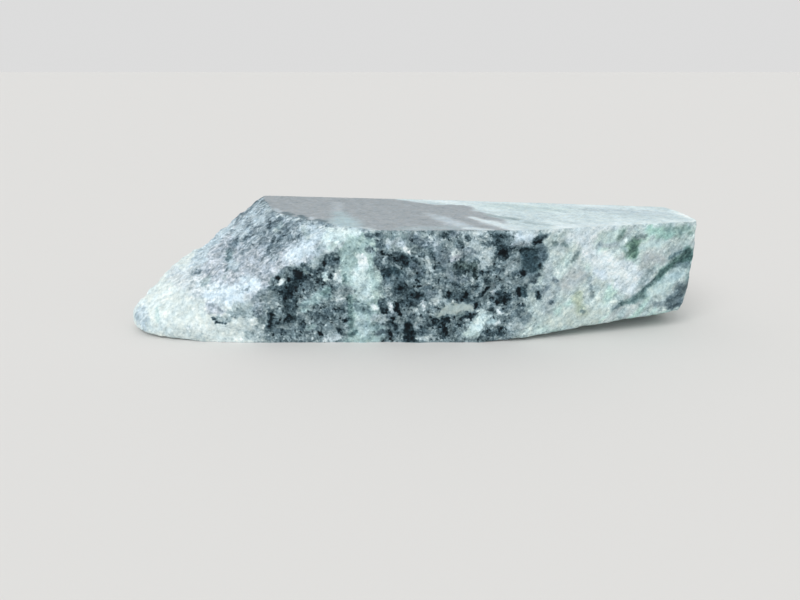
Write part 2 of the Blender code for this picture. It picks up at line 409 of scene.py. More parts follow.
# ---------------------------------------------------------------- node trees
class Value:
    """A number that flows through a node tree; arithmetic on it adds Math nodes."""

    def __init__(self, bench, socket):
        self.bench = bench
        self.socket = socket

    def math(self, operation, *others):
        values = {i: v for i, v in enumerate((self,) + others)}
        return self.bench.value("ShaderNodeMath", {"operation": operation}, values)

    def __add__(self, other):
        return self.math("ADD", other)

    def __radd__(self, other):
        return self.math("ADD", other)

    def __sub__(self, other):
        return self.math("SUBTRACT", other)

    def __rsub__(self, other):
        return self.bench.value("ShaderNodeMath", {"operation": "SUBTRACT"}, {0: other, 1: self})

    def __mul__(self, other):
        return self.math("MULTIPLY", other)

    def __rmul__(self, other):
        return self.math("MULTIPLY", other)

    def __truediv__(self, other):
        return self.math("DIVIDE", other)

    def __rtruediv__(self, other):
        return self.bench.value("ShaderNodeMath", {"operation": "DIVIDE"}, {0: other, 1: self})

    def __neg__(self):
        return self.math("MULTIPLY", -1.0)

    def clamp(self):
        return self.math("MAXIMUM", 0.0).math("MINIMUM", 1.0)

    def towards(self, other, share):
        """This value where the share is nought, the other where it is one."""
        return self + (other - self) * share

    def rise(self, low, high):
        """Nought below low, one above high, smooth between."""
        settings = {"interpolation_type": "SMOOTHSTEP"}
        return self.bench.value(
            "ShaderNodeMapRange", settings, {"Value": self, "From Min": low, "From Max": high})


class Bench:
    """Adds nodes to one tree."""

    def __init__(self, tree):
        self.tree = tree

    def node(self, kind, settings=None, values=None):
        """A node of the given kind, with its settings first and then its sockets."""
        made = self.tree.nodes.new(kind)
        for name, setting in (settings or {}).items():
            if name == "stops":
                self.set_stops(made.color_ramp, setting)
            else:
                setattr(made, name, setting)
        self.fill(made, values or {})
        return made

    def fill(self, made, values):
        """Give a node's sockets their values or their links."""
        for name, value in values.items():
            socket = made.inputs[name]
            if isinstance(value, Value):
                value = value.socket
            if isinstance(value, bpy.types.NodeSocket):
                self.tree.links.new(value, socket)
            else:
                socket.default_value = value

    def value(self, kind, settings=None, values=None, output=0):
        """The chosen output of a new node, as a Value."""
        return Value(self, self.node(kind, settings, values).outputs[output])

    def scaled(self, vector, factor):
        """A vector times a number."""
        return self.value("ShaderNodeVectorMath", {"operation": "SCALE"}, {0: vector, "Scale": factor})

    def mixed(self, share, first, second, blend="MIX"):
        """Two colours mixed."""
        settings = {"data_type": "RGBA", "blend_type": blend}
        return self.value("ShaderNodeMix", settings, {0: share, 6: first, 7: second}, 2)

    def set_stops(self, ramp, stops):
        """Give a colour ramp its stops, each a place and a colour."""
        while len(ramp.elements) < len(stops):
            ramp.elements.new(1.0)
        for element, (place, color) in zip(ramp.elements, stops):
            element.position = place
            element.color = color


def add_object(name, data):
    """A new object in the scene."""
    made = bpy.data.objects.new(name, data)
    bpy.context.scene.collection.objects.link(made)
    return made


def new_material(name):
    """A new material, the bench of its tree and its shader."""
    material = bpy.data.materials.new(name)
    material.use_nodes = True
    return material, Bench(material.node_tree), material.node_tree.nodes["Principled BSDF"]


# ---------------------------------------------------------------- the grain of the broken faces
GRAIN = {
    "Grain depth": 0.00050,
    "Grain span": 0.0034,
    "Crystal depth": 0.00042,
    "Crystal span": 0.0023,
    "Saw depth": 0.00006,
    "Saw spacing": 0.0021,
}
GRAIN_DETAIL = 4.0
GRAIN_ROUGHNESS = 0.6
CRYSTAL_MIDDLE = 0.45       # mean distance in the crystal cells
PATCHES_PER_METRE = 90.0    # patches with and without crystals
PATCH_DETAIL = 2.0
PATCH_EDGE = (0.35, 0.65)
SAW_ANGLE = 0.35            # how the saw marks are turned in plan


def grain_tree(material):
    """Geometry nodes that roughen the broken faces and leave faint marks on the saw cuts."""
    tree = bpy.data.node_groups.new("stone_grain", "GeometryNodeTree")
    tree.interface.new_socket("Geometry", in_out="INPUT", socket_type="NodeSocketGeometry")
    for name in GRAIN:
        tree.interface.new_socket(name, in_out="INPUT", socket_type="NodeSocketFloat")
    tree.interface.new_socket("Geometry", in_out="OUTPUT", socket_type="NodeSocketGeometry")
    bench = Bench(tree)
    given = bench.node("NodeGroupInput").outputs
    size = {name: Value(bench, given[name]) for name in GRAIN}
    place = bench.node("GeometryNodeInputPosition").outputs[0]
    rough = bench.value("GeometryNodeInputNamedAttribute", {"data_type": "FLOAT"}, {"Name": "rough"})
    grain = bench.value(
        "ShaderNodeTexNoise", None,
        {"Vector": place, "Scale": 1.0 / size["Grain span"], "Detail": GRAIN_DETAIL,
         "Roughness": GRAIN_ROUGHNESS})
    crystal = bench.value(
        "ShaderNodeTexVoronoi", {"feature": "F1"},
        {"Vector": place, "Scale": 1.0 / size["Crystal span"]}, "Distance")
    patchy = bench.value(
        "ShaderNodeTexNoise", None,
        {"Vector": place, "Scale": PATCHES_PER_METRE, "Detail": PATCH_DETAIL})
    broken_height = (grain - 0.5) * size["Grain depth"] * 2.0
    crystal_height = (CRYSTAL_MIDDLE - crystal) * size["Crystal depth"]
    broken_height = broken_height + crystal_height * patchy.rise(*PATCH_EDGE)
    across = bench.node(
        "ShaderNodeVectorRotate", {"rotation_type": "Z_AXIS"}, {"Vector": place, "Angle": SAW_ANGLE})
    saw_x = bench.value("ShaderNodeSeparateXYZ", None, {"Vector": across.outputs[0]}, 0)
    saw = (saw_x / size["Saw spacing"] * 2.0 * math.pi).math("SINE")
    height = broken_height * rough - (saw * 0.5 + 0.5) * size["Saw depth"] * (1.0 - rough)
    offset = bench.scaled(bench.node("GeometryNodeInputNormal").outputs[0], height)
    moved = bench.node(
        "GeometryNodeSetPosition", None,
        {"Geometry": given["Geometry"], "Offset": offset})
    whole = bench.node("GeometryNodeRealizeInstances", None, {"Geometry": moved.outputs[0]})
    dressed = bench.node(
        "GeometryNodeSetMaterial", None, {"Geometry": whole.outputs[0], "Material": material})
    bench.node("NodeGroupOutput", None, {"Geometry": dressed.outputs[0]})
    return tree


def grained(mesh, material):
    """A plain mesh: the stone's surface with its grain."""
    maker = add_object("grain_maker", mesh)
    grain = maker.modifiers.new("grain", "NODES")
    grain.node_group = grain_tree(material)
    for socket in grain.node_group.interface.items_tree:
        if socket.in_out == "INPUT" and socket.name in GRAIN:
            grain[socket.identifier] = GRAIN[socket.name]
    maker.update_tag()
    bpy.context.view_layer.update()
    depsgraph = bpy.context.evaluated_depsgraph_get()
    made = bpy.data.meshes.new_from_object(maker.evaluated_get(depsgraph))
    bpy.data.objects.remove(maker, do_unlink=True)
    return made


# ---------------------------------------------------------------- the stone's minerals
# Each mineral, and each colour painted as shade or highlight: lightness, strength of its speckle, and
# tint over the stone's own grey.
MINERALS = {
    "speckled": (0.47, 0.80, (0.99, 1.00, 1.00)),
    "coarse": (0.50, 0.80, (0.99, 1.00, 1.00)),
    "jet": (0.03, 0.30, (0.95, 1.00, 1.03)),
    "black": (0.13, 0.50, (0.92, 1.00, 1.05)),
    "slate": (0.275, 0.60, (0.95, 1.00, 1.03)),
    "iron": (0.39, 0.60, (0.97, 1.00, 1.03)),
    "navy": (0.25, 0.40, (0.84, 1.00, 1.06)),
    "slate_blue": (0.38, 0.55, (0.95, 1.00, 1.05)),
    "dusk": (0.46, 0.70, (0.99, 0.99, 1.05)),
    "grey": (0.56, 0.55, (1.00, 1.00, 1.00)),
    "lilac_grey": (0.53, 0.60, (1.00, 0.99, 1.03)),
    "rose_grey": (0.50, 0.50, (1.07, 0.98, 1.00)),
    "grey_sage": (0.66, 0.55, (0.98, 1.00, 1.00)),
    "aqua_grey": (0.54, 0.50, (0.97, 1.01, 1.00)),
    "teal_grey": (0.45, 0.55, (0.88, 1.04, 0.97)),
    "dull_teal": (0.52, 0.50, (0.92, 1.02, 1.02)),
    "faint_teal": (0.47, 0.60, (0.96, 1.01, 1.02)),
    "bluegrey": (0.56, 0.70, (1.01, 0.99, 1.04)),
    "pale_blue": (0.77, 0.50, (0.99, 1.00, 1.05)),
    "pale": (0.74, 0.55, (1.00, 1.00, 1.00)),
    # Painted highlight: near white laid on the worn bevel at the right top corner.
    "bevel_highlight_white": (0.99, 0.25, (1.00, 1.00, 0.99)),
    "white": (0.93, 0.40, (1.01, 1.00, 1.01)),
    # Painted highlight: the near white laid along the upper end of the slope's ridge.
    "ridge_highlight_white": (0.87, 0.40, (0.96, 1.01, 1.01)),
    "bluewhite": (0.875, 0.42, (0.97, 0.99, 1.06)),
    "lilac": (0.71, 0.60, (1.05, 0.98, 1.03)),
    "lilac_white": (0.87, 0.50, (1.00, 0.99, 1.02)),
    "rose_white": (0.84, 0.40, (1.04, 0.99, 1.00)),
    "nose": (0.88, 0.30, (1.04, 1.01, 0.98)),
    "aqua": (0.65, 0.50, (0.91, 1.02, 1.00)),
    "aqua_pale": (0.73, 0.45, (0.92, 1.01, 1.02)),
    "pale_aqua": (0.88, 0.45, (0.94, 1.01, 1.01)),
    "pale_mint": (0.81, 0.40, (0.96, 1.02, 0.98)),
    "sage": (0.70, 0.45, (0.92, 1.03, 0.97)),
    "pale_sage": (0.78, 0.45, (0.97, 1.02, 0.97)),
    "mint": (0.73, 0.45, (0.81, 1.06, 0.93)),
    "strand_green": (0.57, 0.50, (0.94, 1.05, 0.93)),
    # Painted shade: the nose's darker tone along its base.
    "nose_base_shade": (0.82, 0.35, (1.02, 1.00, 0.98)),
    "mint_shade": (0.60, 0.45, (0.88, 1.03, 0.94)),
    "green": (0.45, 0.60, (0.82, 1.06, 0.79)),
    "teal": (0.34, 0.55, (0.80, 1.06, 0.91)),
    "olive": (0.30, 0.60, (1.00, 1.02, 0.92)),
    "olive_black": (0.18, 0.50, (1.00, 1.03, 0.92)),
    "olive_grey": (0.52, 0.55, (1.00, 1.02, 0.96)),
    "cream": (0.70, 0.14, (1.04, 1.02, 0.95)),
    "cream_white": (0.78, 0.40, (1.03, 1.01, 0.93)),
    "rose": (0.74, 0.40, (1.06, 0.99, 0.97)),
    "rose_grey_pale": (0.69, 0.45, (1.01, 1.00, 0.96)),
    "ochre": (0.73, 0.45, (1.04, 1.02, 0.80)),
    "ash": (0.33, 0.50, (1.06, 0.99, 0.95)),
    "streaky": (0.795, 0.58, (0.99, 1.01, 0.97)),
    "sawn_grey": (0.617, 0.14, (1.16, 1.00, 0.99)),
    "sawn_pale": (0.855, 0.20, (1.00, 1.01, 1.01)),
    "sawn_white": (0.89, 0.16, (1.01, 1.00, 1.01)),
    "sawn_lilac": (0.76, 0.16, (1.04, 0.99, 1.02)),
    "sawn_aqua": (0.73, 0.16, (0.95, 1.01, 1.02)),
    "sawn_mint": (0.80, 0.16, (0.98, 1.02, 0.98)),
    "sawn_sage": (0.65, 0.14, (1.00, 1.01, 0.98)),
    "sawn_blue": (0.76, 0.16, (1.00, 0.99, 1.02)),
}

# Markings of the broken faces, in elevation: mineral, start and end (x, z) and half width, in mm.
MARKINGS = {
    "slope_clump_high": ("dusk", (-82, 38), (-78.5, 42), 2.0),
    "slope_clump_mid": ("bluegrey", (-76, 37), (-67.5, 44.5), 2.1),
    "slope_clump_edge": ("dusk", (-65.5, 46), (-61, 48), 1.7),
    "slope_clump_fore": ("dusk", (-62, 41), (-56.5, 45), 2.1),
    "slope_clump_low": ("dusk", (-66.5, 36), (-64, 39), 1.7),
    "slope_rim": ("pale_blue", (-102, 31), (-91.5, 39.5), 1.7),
    "slope_rim_high": ("pale_blue", (-79.5, 46), (-85.5, 41), 1.7),
    "slope_edge_light": ("pale_blue", (-49, 48), (-40, 48), 1.5),
    "slope_blue_light": ("pale_blue", (-46.5, 45), (-40, 46.5), 1.7),
    "slope_rim_low": ("pale_blue", (-104, 28.5), (-98, 31), 2.1),
    "slope_line": ("bluegrey", (-104.5, 25.5), (-97.5, 26.5), 0.6),
    "slope_teal": ("faint_teal", (-84, 33.5), (-84.5, 28.5), 2.0),
    "slope_dot": ("dusk", (-93.5, 25), (-90.5, 25), 0.7),
    "slope_warm": ("lilac", (-76.5, 32.5), (-68.5, 36.5), 3.0),
    "slope_warm_low": ("lilac", (-90.5, 27), (-86, 29), 2.6),
    # Painted highlight along the ridge between the slope and the front, over pale stone.
    "slope_ridge_highlight": ("bluewhite", (-53, 38), (-44.5, 42), 2.9),
    "slope_blue_line": ("bluegrey", (-61, 40), (-57, 41.5), 1.3),
    "slope_bright_mid": ("bluewhite", (-74, 24.5), (-68, 26.5), 2.4),
    "slope_bright_low": ("bluewhite", (-89.5, 20.5), (-76, 20.5), 3.0),
    "slope_light": ("lilac_white", (-97, 23), (-87, 23.5), 1.7),
    "slope_light_mid": ("bluewhite", (-82, 23.5), (-76.5, 24.5), 1.5),
    "slope_grey_low": ("bluegrey", (-73.5, 23.5), (-71.5, 24.5), 0.6),
    "slope_lilac_foot": ("lilac", (-90, 16), (-83.5, 14.5), 1.9),
    "slope_crack": ("slate", (-87.5, 11.5), (-87, 10.5), 0.6),
    "slope_crack_tail": ("slate", (-86.5, 9.5), (-82.5, 9.5), 0.6),
    "slope_crack_shade": ("grey_sage", (-85.5, 11.5), (-80.5, 11), 1.2),
    "slope_sage": ("grey_sage", (-77, 14), (-69, 16), 3.0),
    "slope_sage_foot": ("grey_sage", (-73.5, 4), (-68.5, 7.5), 1.7),
    # Painted highlight along the ridge, up to the top corner.
    "slope_corner": ("ridge_highlight_white", (-37, 47), (-24, 50), 2.0),
    "slope_corner_low": ("pale", (-37, 43.5), (-31, 45), 1.5),
    "slope_fringe": ("grey_sage", (-42, 34.5), (-39, 42.5), 1.5),
    "nose_blue": ("pale_blue", (-126, 8.5), (-121, 5.5), 2.6),
    "nose_aqua": ("pale_mint", (-115.5, 12), (-114.5, 7.5), 1.0),
    "nose_warm": ("rose_white", (-114.5, 22.5), (-103.5, 23), 2.1),
    "nose_lilac": ("lilac_white", (-98.5, 5.5), (-94, 4.5), 1.5),
    # Painted shade along the nose's base, where it turns under.
    "nose_foot": ("nose_base_shade", (-117.5, 5), (-87.5, 3), 2.1),
    "nose_shade": ("nose_base_shade", (-81, 6), (-73, 8), 2.1),
    "left_margin": ("bluegrey", (-67.5, 21), (-67.5, 13), 1.9),
    "left_margin_low": ("pale", (-69.5, 6.5), (-67, 4.5), 1.7),
    "left_core_side": ("iron", (-46, 29.5), (-45.5, 25.5), 2.0),
    "left_core": ("black", (-49, 30.5), (-54.5, 21.5), 2.5),
    "left_core_head": ("jet", (-50, 32.5), (-48, 32), 0.9),
    "left_core_fleck": ("jet", (-53.5, 29), (-53.5, 28.5), 0.7),
    "left_core_foot": ("black", (-54.5, 21.5), (-52, 20), 1.3),
    "left_arm": ("slate", (-47, 35), (-43.5, 33.5), 0.9),
    "left_arm_olive": ("olive_grey", (-46.5, 33), (-45.5, 32.5), 0.8),
    "left_dot": ("jet", (-58, 29.5), (-57.5, 29), 0.6),
    "left_chip": ("white", (-56, 28.5), (-57.5, 27), 0.9),
    "left_edge": ("slate", (-63, 25), (-56.5, 25.5), 0.9),
    "left_grains": ("grey", (-65, 22.5), (-59.5, 19), 2.1),
    "left_foot": ("slate", (-62, 13), (-62.5, 7), 1.9),
    "left_foot_core": ("black", (-62, 13.5), (-62.5, 7.5), 0.9),
    "left_foot_dot": ("jet", (-61, 4), (-61, 4), 0.7),
    "left_low_grey": ("grey", (-38, 7), (-31.5, 8), 1.3),
    "left_foot_mid": ("slate", (-59.5, 9.5), (-56.5, 8.5), 0.9),
    "left_foot_low": ("iron", (-60, 6), (-56, 5), 1.3),
    "left_drop": ("slate", (-53, 18.5), (-53.5, 11.5), 1.8),
    "left_drop_core": ("black", (-54, 12.5), (-53, 12), 0.9),
    "left_grey_right": ("grey", (-49.5, 14.5), (-46.5, 10), 1.7),
    "left_grey_foot": ("grey", (-57, 7.5), (-53, 7.5), 1.2),
    "left_fleck": ("iron", (-42, 14), (-42, 6.5), 0.9),
    "left_fleck_dark": ("slate", (-48.5, 10), (-48, 7), 1.1),
    "left_fork": ("slate", (-36, 37.5), (-33.5, 38.5), 2.0),
    "left_fork_tip": ("jet", (-37.5, 36.5), (-37.5, 36), 0.7),
    "left_fork_low": ("iron", (-33.5, 36), (-30.5, 35), 1.1),
    "left_ridge": ("slate", (-43.5, 32.5), (-39, 33.5), 0.7),
    "left_dot_high": ("black", (-35, 31.5), (-35, 30.5), 0.8),
    "left_dot_mid": ("slate", (-40.5, 28.5), (-39, 28), 1.1),
    "left_dot_bar": ("jet", (-35, 26), (-35, 25), 0.6),
    "left_bar": ("slate", (-39.5, 25), (-34.5, 25), 0.9),
    "left_aqua": ("aqua", (-41.5, 20.5), (-37, 23), 2.1),
    "left_aqua_low": ("aqua", (-47, 18), (-41, 19), 1.3),
    "left_aqua_high": ("pale_aqua", (-38, 32.5), (-37, 29.5), 1.2),
    "left_chip_band": ("pale", (-32, 32.5), (-31.5, 28.5), 1.2),
    "left_grey": ("grey", (-32, 23.5), (-27.5, 25), 2.0),
    "left_chip_low": ("pale", (-32.5, 20), (-29, 20.5), 0.9),
    "left_low": ("iron", (-39.5, 12.5), (-35.5, 13.5), 1.6),
    "left_low_high": ("iron", (-32.5, 17.5), (-28.5, 18), 0.9),
    "left_low_mid": ("slate", (-33, 15), (-29.5, 14.5), 0.9),
    "left_low_dot": ("jet", (-29.5, 10.5), (-28.5, 10.5), 0.8),
    "left_rose": ("lilac_white", (-37.5, 2), (-33, 3), 1.5),
    "left_rose_dot": ("slate", (-32, 5.5), (-31, 4.5), 0.8),
    "left_black_foot": ("jet", (-40.5, 4.5), (-39.5, 3.5), 0.8),
    "band_sage": ("sage", (-26.5, 45.5), (-28, 34.5), 2.6),
    "band_white": ("white", (-21.5, 39.5), (-20.5, 34.5), 1.8),
    "band_pale": ("pale_aqua", (-22.5, 31), (-21, 23), 3.7),
    "band_dark_teal": ("dull_teal", (-25, 17.5), (-19, 15.5), 1.9),
    "band_spot": ("teal_grey", (-29, 31), (-29, 29), 0.6),
    "band_foot": ("aqua_pale", (-22, 10.5), (-20, 5.5), 2.8),
    "band_edge": ("teal_grey", (-27, 21.5), (-26.5, 8), 1.0),
    "band_chip": ("white", (-17, 17), (-15.5, 16), 1.0),
    "band_mauve": ("iron", (-18.5, 43), (-17.5, 42), 1.1),
    "centre_top": ("slate", (-19, 48.5), (-14, 49), 1.0),
    "centre_column": ("iron", (-13.5, 46), (-14, 36.5), 1.4),
    "centre_column_dot": ("jet", (-12.5, 41.5), (-12, 40.5), 0.6),
    "centre_sage": ("aqua_grey", (-10.5, 49), (-3.5, 48.5), 1.7),
    "centre_mint": ("pale_blue", (-10, 45), (-3.5, 45.5), 1.7),
    "centre_chip": ("white", (-3, 43), (-1, 41.5), 0.9),
    "centre_clump_high": ("slate", (-7.5, 39.5), (0, 38), 2.4),
    "centre_clump_core": ("black", (-3.5, 39.5), (-2.5, 36.5), 1.2),
    "centre_thread": ("pale", (-11, 39.5), (-12.5, 35), 0.4),
    "centre_navy": ("navy", (-11.5, 31.5), (-7, 32), 2.2),
    "centre_navy_edge": ("jet", (-11, 35.5), (-12.5, 33), 0.5),
    "centre_teal": ("iron", (-11, 28), (-5, 29), 1.4),
    "centre_grey_mid": ("grey", (-2.5, 32.5), (1, 30.5), 1.7),
    "centre_slate_high": ("dusk", (1, 48), (6.5, 45.5), 1.9),
    "centre_diagonal": ("slate", (7.5, 43), (10.5, 39), 1.1),
    "centre_diagonal_foot": ("slate", (10.5, 35.5), (13.5, 33.5), 1.3),
    "centre_drop": ("slate", (3, 32), (3, 27.5), 1.1),
    "centre_lilac": ("lilac_grey", (10.5, 45.5), (14.5, 37.5), 2.6),
    "centre_lilac_low": ("lilac_grey", (15.5, 33), (19, 29), 1.9),
    "centre_lilac_side": ("lilac_grey", (16.5, 42.5), (26, 41.5), 1.9),
    "centre_grey_dot": ("grey", (15.5, 36), (18.5, 34.5), 1.3),
    "centre_pale_mid": ("pale", (17.5, 42.5), (20, 39.5), 1.5),
    "centre_grey_high": ("grey", (12.5, 45), (16, 44.5), 1.5),
    "centre_grey_low": ("grey", (10.5, 30), (15.5, 30), 1.3),
    "centre_slate_top": ("slate", (13, 49), (15.5, 48.5), 0.8),
    "centre_pale_chip": ("pale", (6.5, 38.5), (8, 33), 1.2),
    "centre_pale_low": ("grey", (8, 31), (6, 28.5), 1.3),
    "centre_big": ("slate", (-5, 25), (3, 21), 3.2),
    "centre_big_core": ("black", (0.5, 22), (3.5, 22.5), 1.2),
    "centre_big_dot": ("jet", (-5, 25.5), (-3.5, 25.5), 0.6),
    "centre_big_dot_right": ("jet", (3, 26.5), (3.5, 26.5), 0.6),
    "centre_big_fleck": ("black", (6, 26), (6.5, 25.5), 0.7),
    "centre_big_foot": ("slate", (-4.5, 18.5), (1, 18), 1.5),
    "centre_grey_side": ("lilac_grey", (6.5, 24), (9, 22), 1.7),
    "centre_chip_low": ("lilac_white", (5, 19.5), (5.5, 16.5), 0.7),
    "centre_pale_side": ("pale", (13, 24), (10, 19.5), 1.3),
    "centre_bar": ("slate", (17, 22), (24.5, 21.5), 2.1),
    "centre_bar_dot": ("jet", (16, 23.5), (16.5, 22), 0.6),
    "centre_bar_dot_right": ("jet", (24, 23.5), (24, 21), 0.6),
    "centre_bar_high": ("slate", (18, 28), (22, 25.5), 0.9),
    "centre_left_clump": ("slate", (-13, 19), (-12, 15), 1.6),
    "centre_left_dot": ("black", (-13.5, 15), (-11, 13.5), 0.7),
    "centre_lilac_thread": ("lilac_white", (-9.5, 18.5), (-8.5, 14.5), 0.6),
    "centre_flecks": ("jet", (-6.5, 17.5), (-6.5, 15), 1.2),
    "centre_flecks_low": ("jet", (-6, 14.5), (-4.5, 13), 0.8),
    "centre_flecks_foot": ("jet", (-8, 11.5), (-9.5, 9.5), 0.9),
    "centre_flecks_end": ("jet", (-10, 5), (-9, 3.5), 0.9),
    "centre_flecks_mid": ("slate", (-9.5, 9.5), (-7, 5.5), 1.6),
    "centre_flecks_right": ("black", (-7, 8), (-7, 6), 0.7),
    "centre_rose": ("grey", (-5.5, 10), (-3.5, 8.5), 0.9),
    "centre_foot_top": ("iron", (0, 12.5), (0, 8.5), 1.5),
    "centre_foot": ("black", (-1, 7), (0, 2), 2.3),
    "centre_pale_shelf": ("pale", (-16, 11.5), (-12, 12), 1.5),
    "centre_aqua_foot": ("aqua", (-16.5, 7.5), (-13.5, 4.5), 1.7),
    "centre_foot_pale": ("pale", (2.5, 2), (10, 2), 0.8),
    "centre_low_slate": ("iron", (3, 5), (7.5, 5), 1.3),
    "centre_low_iron": ("iron", (4.5, 8), (7.5, 7), 1.3),
    "lens_under": ("black", (10, 10), (16, 10.5), 1.5),
    "lens_under_right": ("slate", (21, 11.5), (27.5, 12), 1.4),
    "lens_under_dot": ("jet", (25.5, 13), (26.5, 11.5), 0.7),
    "lens_foot": ("slate", (12.5, 8), (15.5, 4), 1.9),
    "lens_foot_dot": ("jet", (14.5, 8.5), (15.5, 4.5), 0.7),
    "lens": ("cream", (15, 15.5), (25, 16.5), 1.9),
    "lens_tail": ("cream", (12, 13.5), (18, 14.5), 1.5),
    "lens_end": ("slate", (27.5, 19.5), (29.5, 18), 0.9),
    "lens_end_dot": ("jet", (28.5, 18), (28.5, 16), 0.6),
    "lens_foot_fleck": ("black", (20.5, 8.5), (22, 8), 0.6),
    "lens_foot_pale": ("pale_mint", (23.5, 4), (28.5, 3.5), 1.1),
    "upper_white": ("white", (27, 50), (31, 50.5), 0.9),
    "upper_pale": ("pale", (24.5, 47.5), (33.5, 42.5), 2.8),
    "upper_pale_low": ("pale", (29.5, 39.5), (33.5, 37), 1.7),
    "upper_dot": ("iron", (30.5, 45.5), (31.5, 44.5), 1.0),
    "upper_slate": ("slate", (23, 48.5), (24, 47), 1.0),
    "upper_slate_low": ("iron", (19.5, 45.5), (21.5, 44), 0.8),
    "upper_clump": ("slate", (36, 47.5), (40, 45.5), 2.5),
    "upper_clump_core": ("black", (36, 48.5), (36, 46), 1.0),
    "upper_pale_side": ("pale", (31.5, 49.5), (33.5, 47.5), 1.0),
    "upper_core_rim": ("slate", (38.5, 42), (40, 40.5), 2.4),
    "upper_core": ("jet", (38.5, 41.5), (39.5, 41), 2.0),
    "upper_arm": ("black", (42, 43.5), (43, 43), 0.7),
    "upper_bluewhite": ("bluewhite", (44.5, 48.5), (50.5, 48.5), 2.9),
    "upper_bluewhite_low": ("bluegrey", (44, 44.5), (49, 44), 1.4),
    "navy_head": ("jet", (47.5, 41.5), (53, 41.5), 1.2),
    "navy_field": ("navy", (50, 39.5), (53.5, 39), 2.8),
    "navy_field_low": ("navy", (50, 36), (53, 34.5), 2.4),
    "navy_left": ("grey", (46, 39.5), (46.5, 33.5), 1.1),
    "navy_low_grey": ("grey", (43, 27.5), (48.5, 28.5), 1.5),
    "navy_side": ("slate_blue", (56, 43), (56.5, 39), 1.8),
    "navy_low": ("slate_blue", (44.5, 32), (47, 32.5), 1.5),
    "navy_foot": ("iron", (51, 31), (53, 28.5), 1.3),
    "navy_horn": ("slate", (53.5, 46), (57.5, 49), 1.5),
    "navy_horn_dot": ("jet", (52.5, 45), (55, 46), 0.7),
    "navy_horn_tip": ("black", (57.5, 49.5), (57.5, 49.5), 0.6),
    "navy_dot": ("jet", (55.5, 35.5), (56, 34.5), 0.9),
    "navy_dot_low": ("jet", (48, 32.5), (48.5, 32), 0.9),
    "olive_top": ("iron", (21.5, 38), (27, 38), 0.9),
    "olive_clump": ("olive", (19.5, 35.5), (27.5, 35), 1.7),
    "olive_drop": ("olive_black", (27, 34), (27.5, 30.5), 0.9),
    "cream_fleck": ("pale", (23, 30), (26, 30), 1.0),
    "brow": ("slate", (29.5, 32.5), (33.5, 32.5), 0.6),
    "brow_foot": ("slate", (31.5, 29), (34, 28.5), 0.7),
    "middle_chip": ("pale", (30, 35), (32, 37.5), 1.3),
    "middle_slate": ("iron", (37, 33.5), (40, 33.5), 0.9),
    "middle_column": ("grey", (42, 37), (41.5, 27), 1.3),
    "lower_core_top": ("slate", (40, 25), (39.5, 23.5), 1.1),
    "lower_core": ("black", (37.5, 20.5), (40.5, 20.5), 2.5),
    "lower_core_dot": ("jet", (37, 19.5), (37.5, 18.5), 0.9),
    "lower_bar": ("black", (30.5, 22.5), (31.5, 23), 0.9),
    "lower_bar_high": ("jet", (32.5, 24.5), (34, 25.5), 0.6),
    "lower_left": ("slate", (26, 26), (28.5, 26.5), 1.0),
    "lower_lilac": ("lilac_white", (35.5, 23), (36, 20.5), 1.0),
    "lower_pale": ("rose_grey", (36, 25.5), (37.5, 25.5), 1.1),
    "lower_dot": ("jet", (46.5, 24.5), (47, 22.5), 1.1),
    "lower_dot_navy": ("navy", (48.5, 25), (49.5, 22), 1.2),
    "lower_dot_right": ("black", (55.5, 23), (56, 21), 1.2),
    "lower_spec_right": ("slate", (47, 17.5), (50, 17), 0.7),
    "lower_slate": ("iron", (46.5, 14.5), (48.5, 14.5), 1.3),
    "lower_slate_left": ("slate", (35, 16.5), (35, 13.5), 0.9),
    "lower_white": ("white", (38.5, 15), (40, 15), 1.2),
    "lower_white_foot": ("white", (37.5, 9.5), (38.5, 9.5), 0.8),
    "lower_blue": ("grey", (43.5, 11.5), (50.5, 11.5), 2.1),
    "lower_pale_foot": ("pale", (43, 7.5), (49, 7), 1.5),
    "aqua_patch": ("pale_aqua", (32, 12.5), (28.5, 7), 2.8),
    "aqua_patch_foot": ("pale_mint", (25, 4), (29, 4), 1.3),
    "lower_foot": ("slate", (32.5, 4.5), (41, 4.5), 1.6),
    "lower_foot_dot": ("black", (39, 6.5), (41, 6.5), 0.7),
    "right_border": ("pale", (59, 35), (60.5, 12), 2.5),
    "right_olive": ("olive_grey", (61, 45), (62, 44.5), 1.0),
    "right_olive_side": ("olive_grey", (65.5, 44.5), (67, 43.5), 0.9),
    "right_dots": ("dusk", (61, 18), (62, 18), 0.9),
    "right_dots_high": ("dusk", (62, 28.5), (63.5, 27.5), 0.9),
    "right_grey_line": ("olive_grey", (70.5, 36), (73, 39.5), 0.9),
    "right_rose": ("rose", (68, 26), (74.5, 29.5), 3.0),
    "right_streak": ("grey_sage", (79, 28.5), (81, 18.5), 0.9),
    "right_line": ("pale", (82.5, 33), (79.5, 25), 0.7),
    "right_white_spread": ("lilac_white", (82.5, 35), (104, 21.5), 3.9),
    "right_white": ("white", (85, 36), (96.5, 27), 3.4),
    "right_white_low": ("lilac_white", (93, 24), (99, 21), 2.1),
    "right_white_side": ("lilac_white", (95, 34), (103, 28), 2.1),
    "right_chip": ("white", (88.5, 27), (89.5, 25), 0.9),
    "right_chip_left": ("bluewhite", (82.5, 31), (85.5, 28), 1.3),
    "right_lilac_top": ("lilac_white", (75, 45.5), (79.5, 37), 3.0),
    "right_grey_high": ("pale", (83, 42.5), (90, 43), 1.3),
    # Painted highlight: a near-white line along the upper rim of the front face.
    "right_rim_highlight": ("lilac_white", (69, 51), (88.5, 50.5), 1.8),
    "right_rim_pale": ("lilac_white", (68.5, 47.5), (79.5, 46.5), 1.7),
    "right_rim_sheen": ("lilac_white", (53.5, 51), (64, 51), 1.1),
    "right_sage": ("pale_sage", (84, 47), (90.5, 46.5), 2.0),
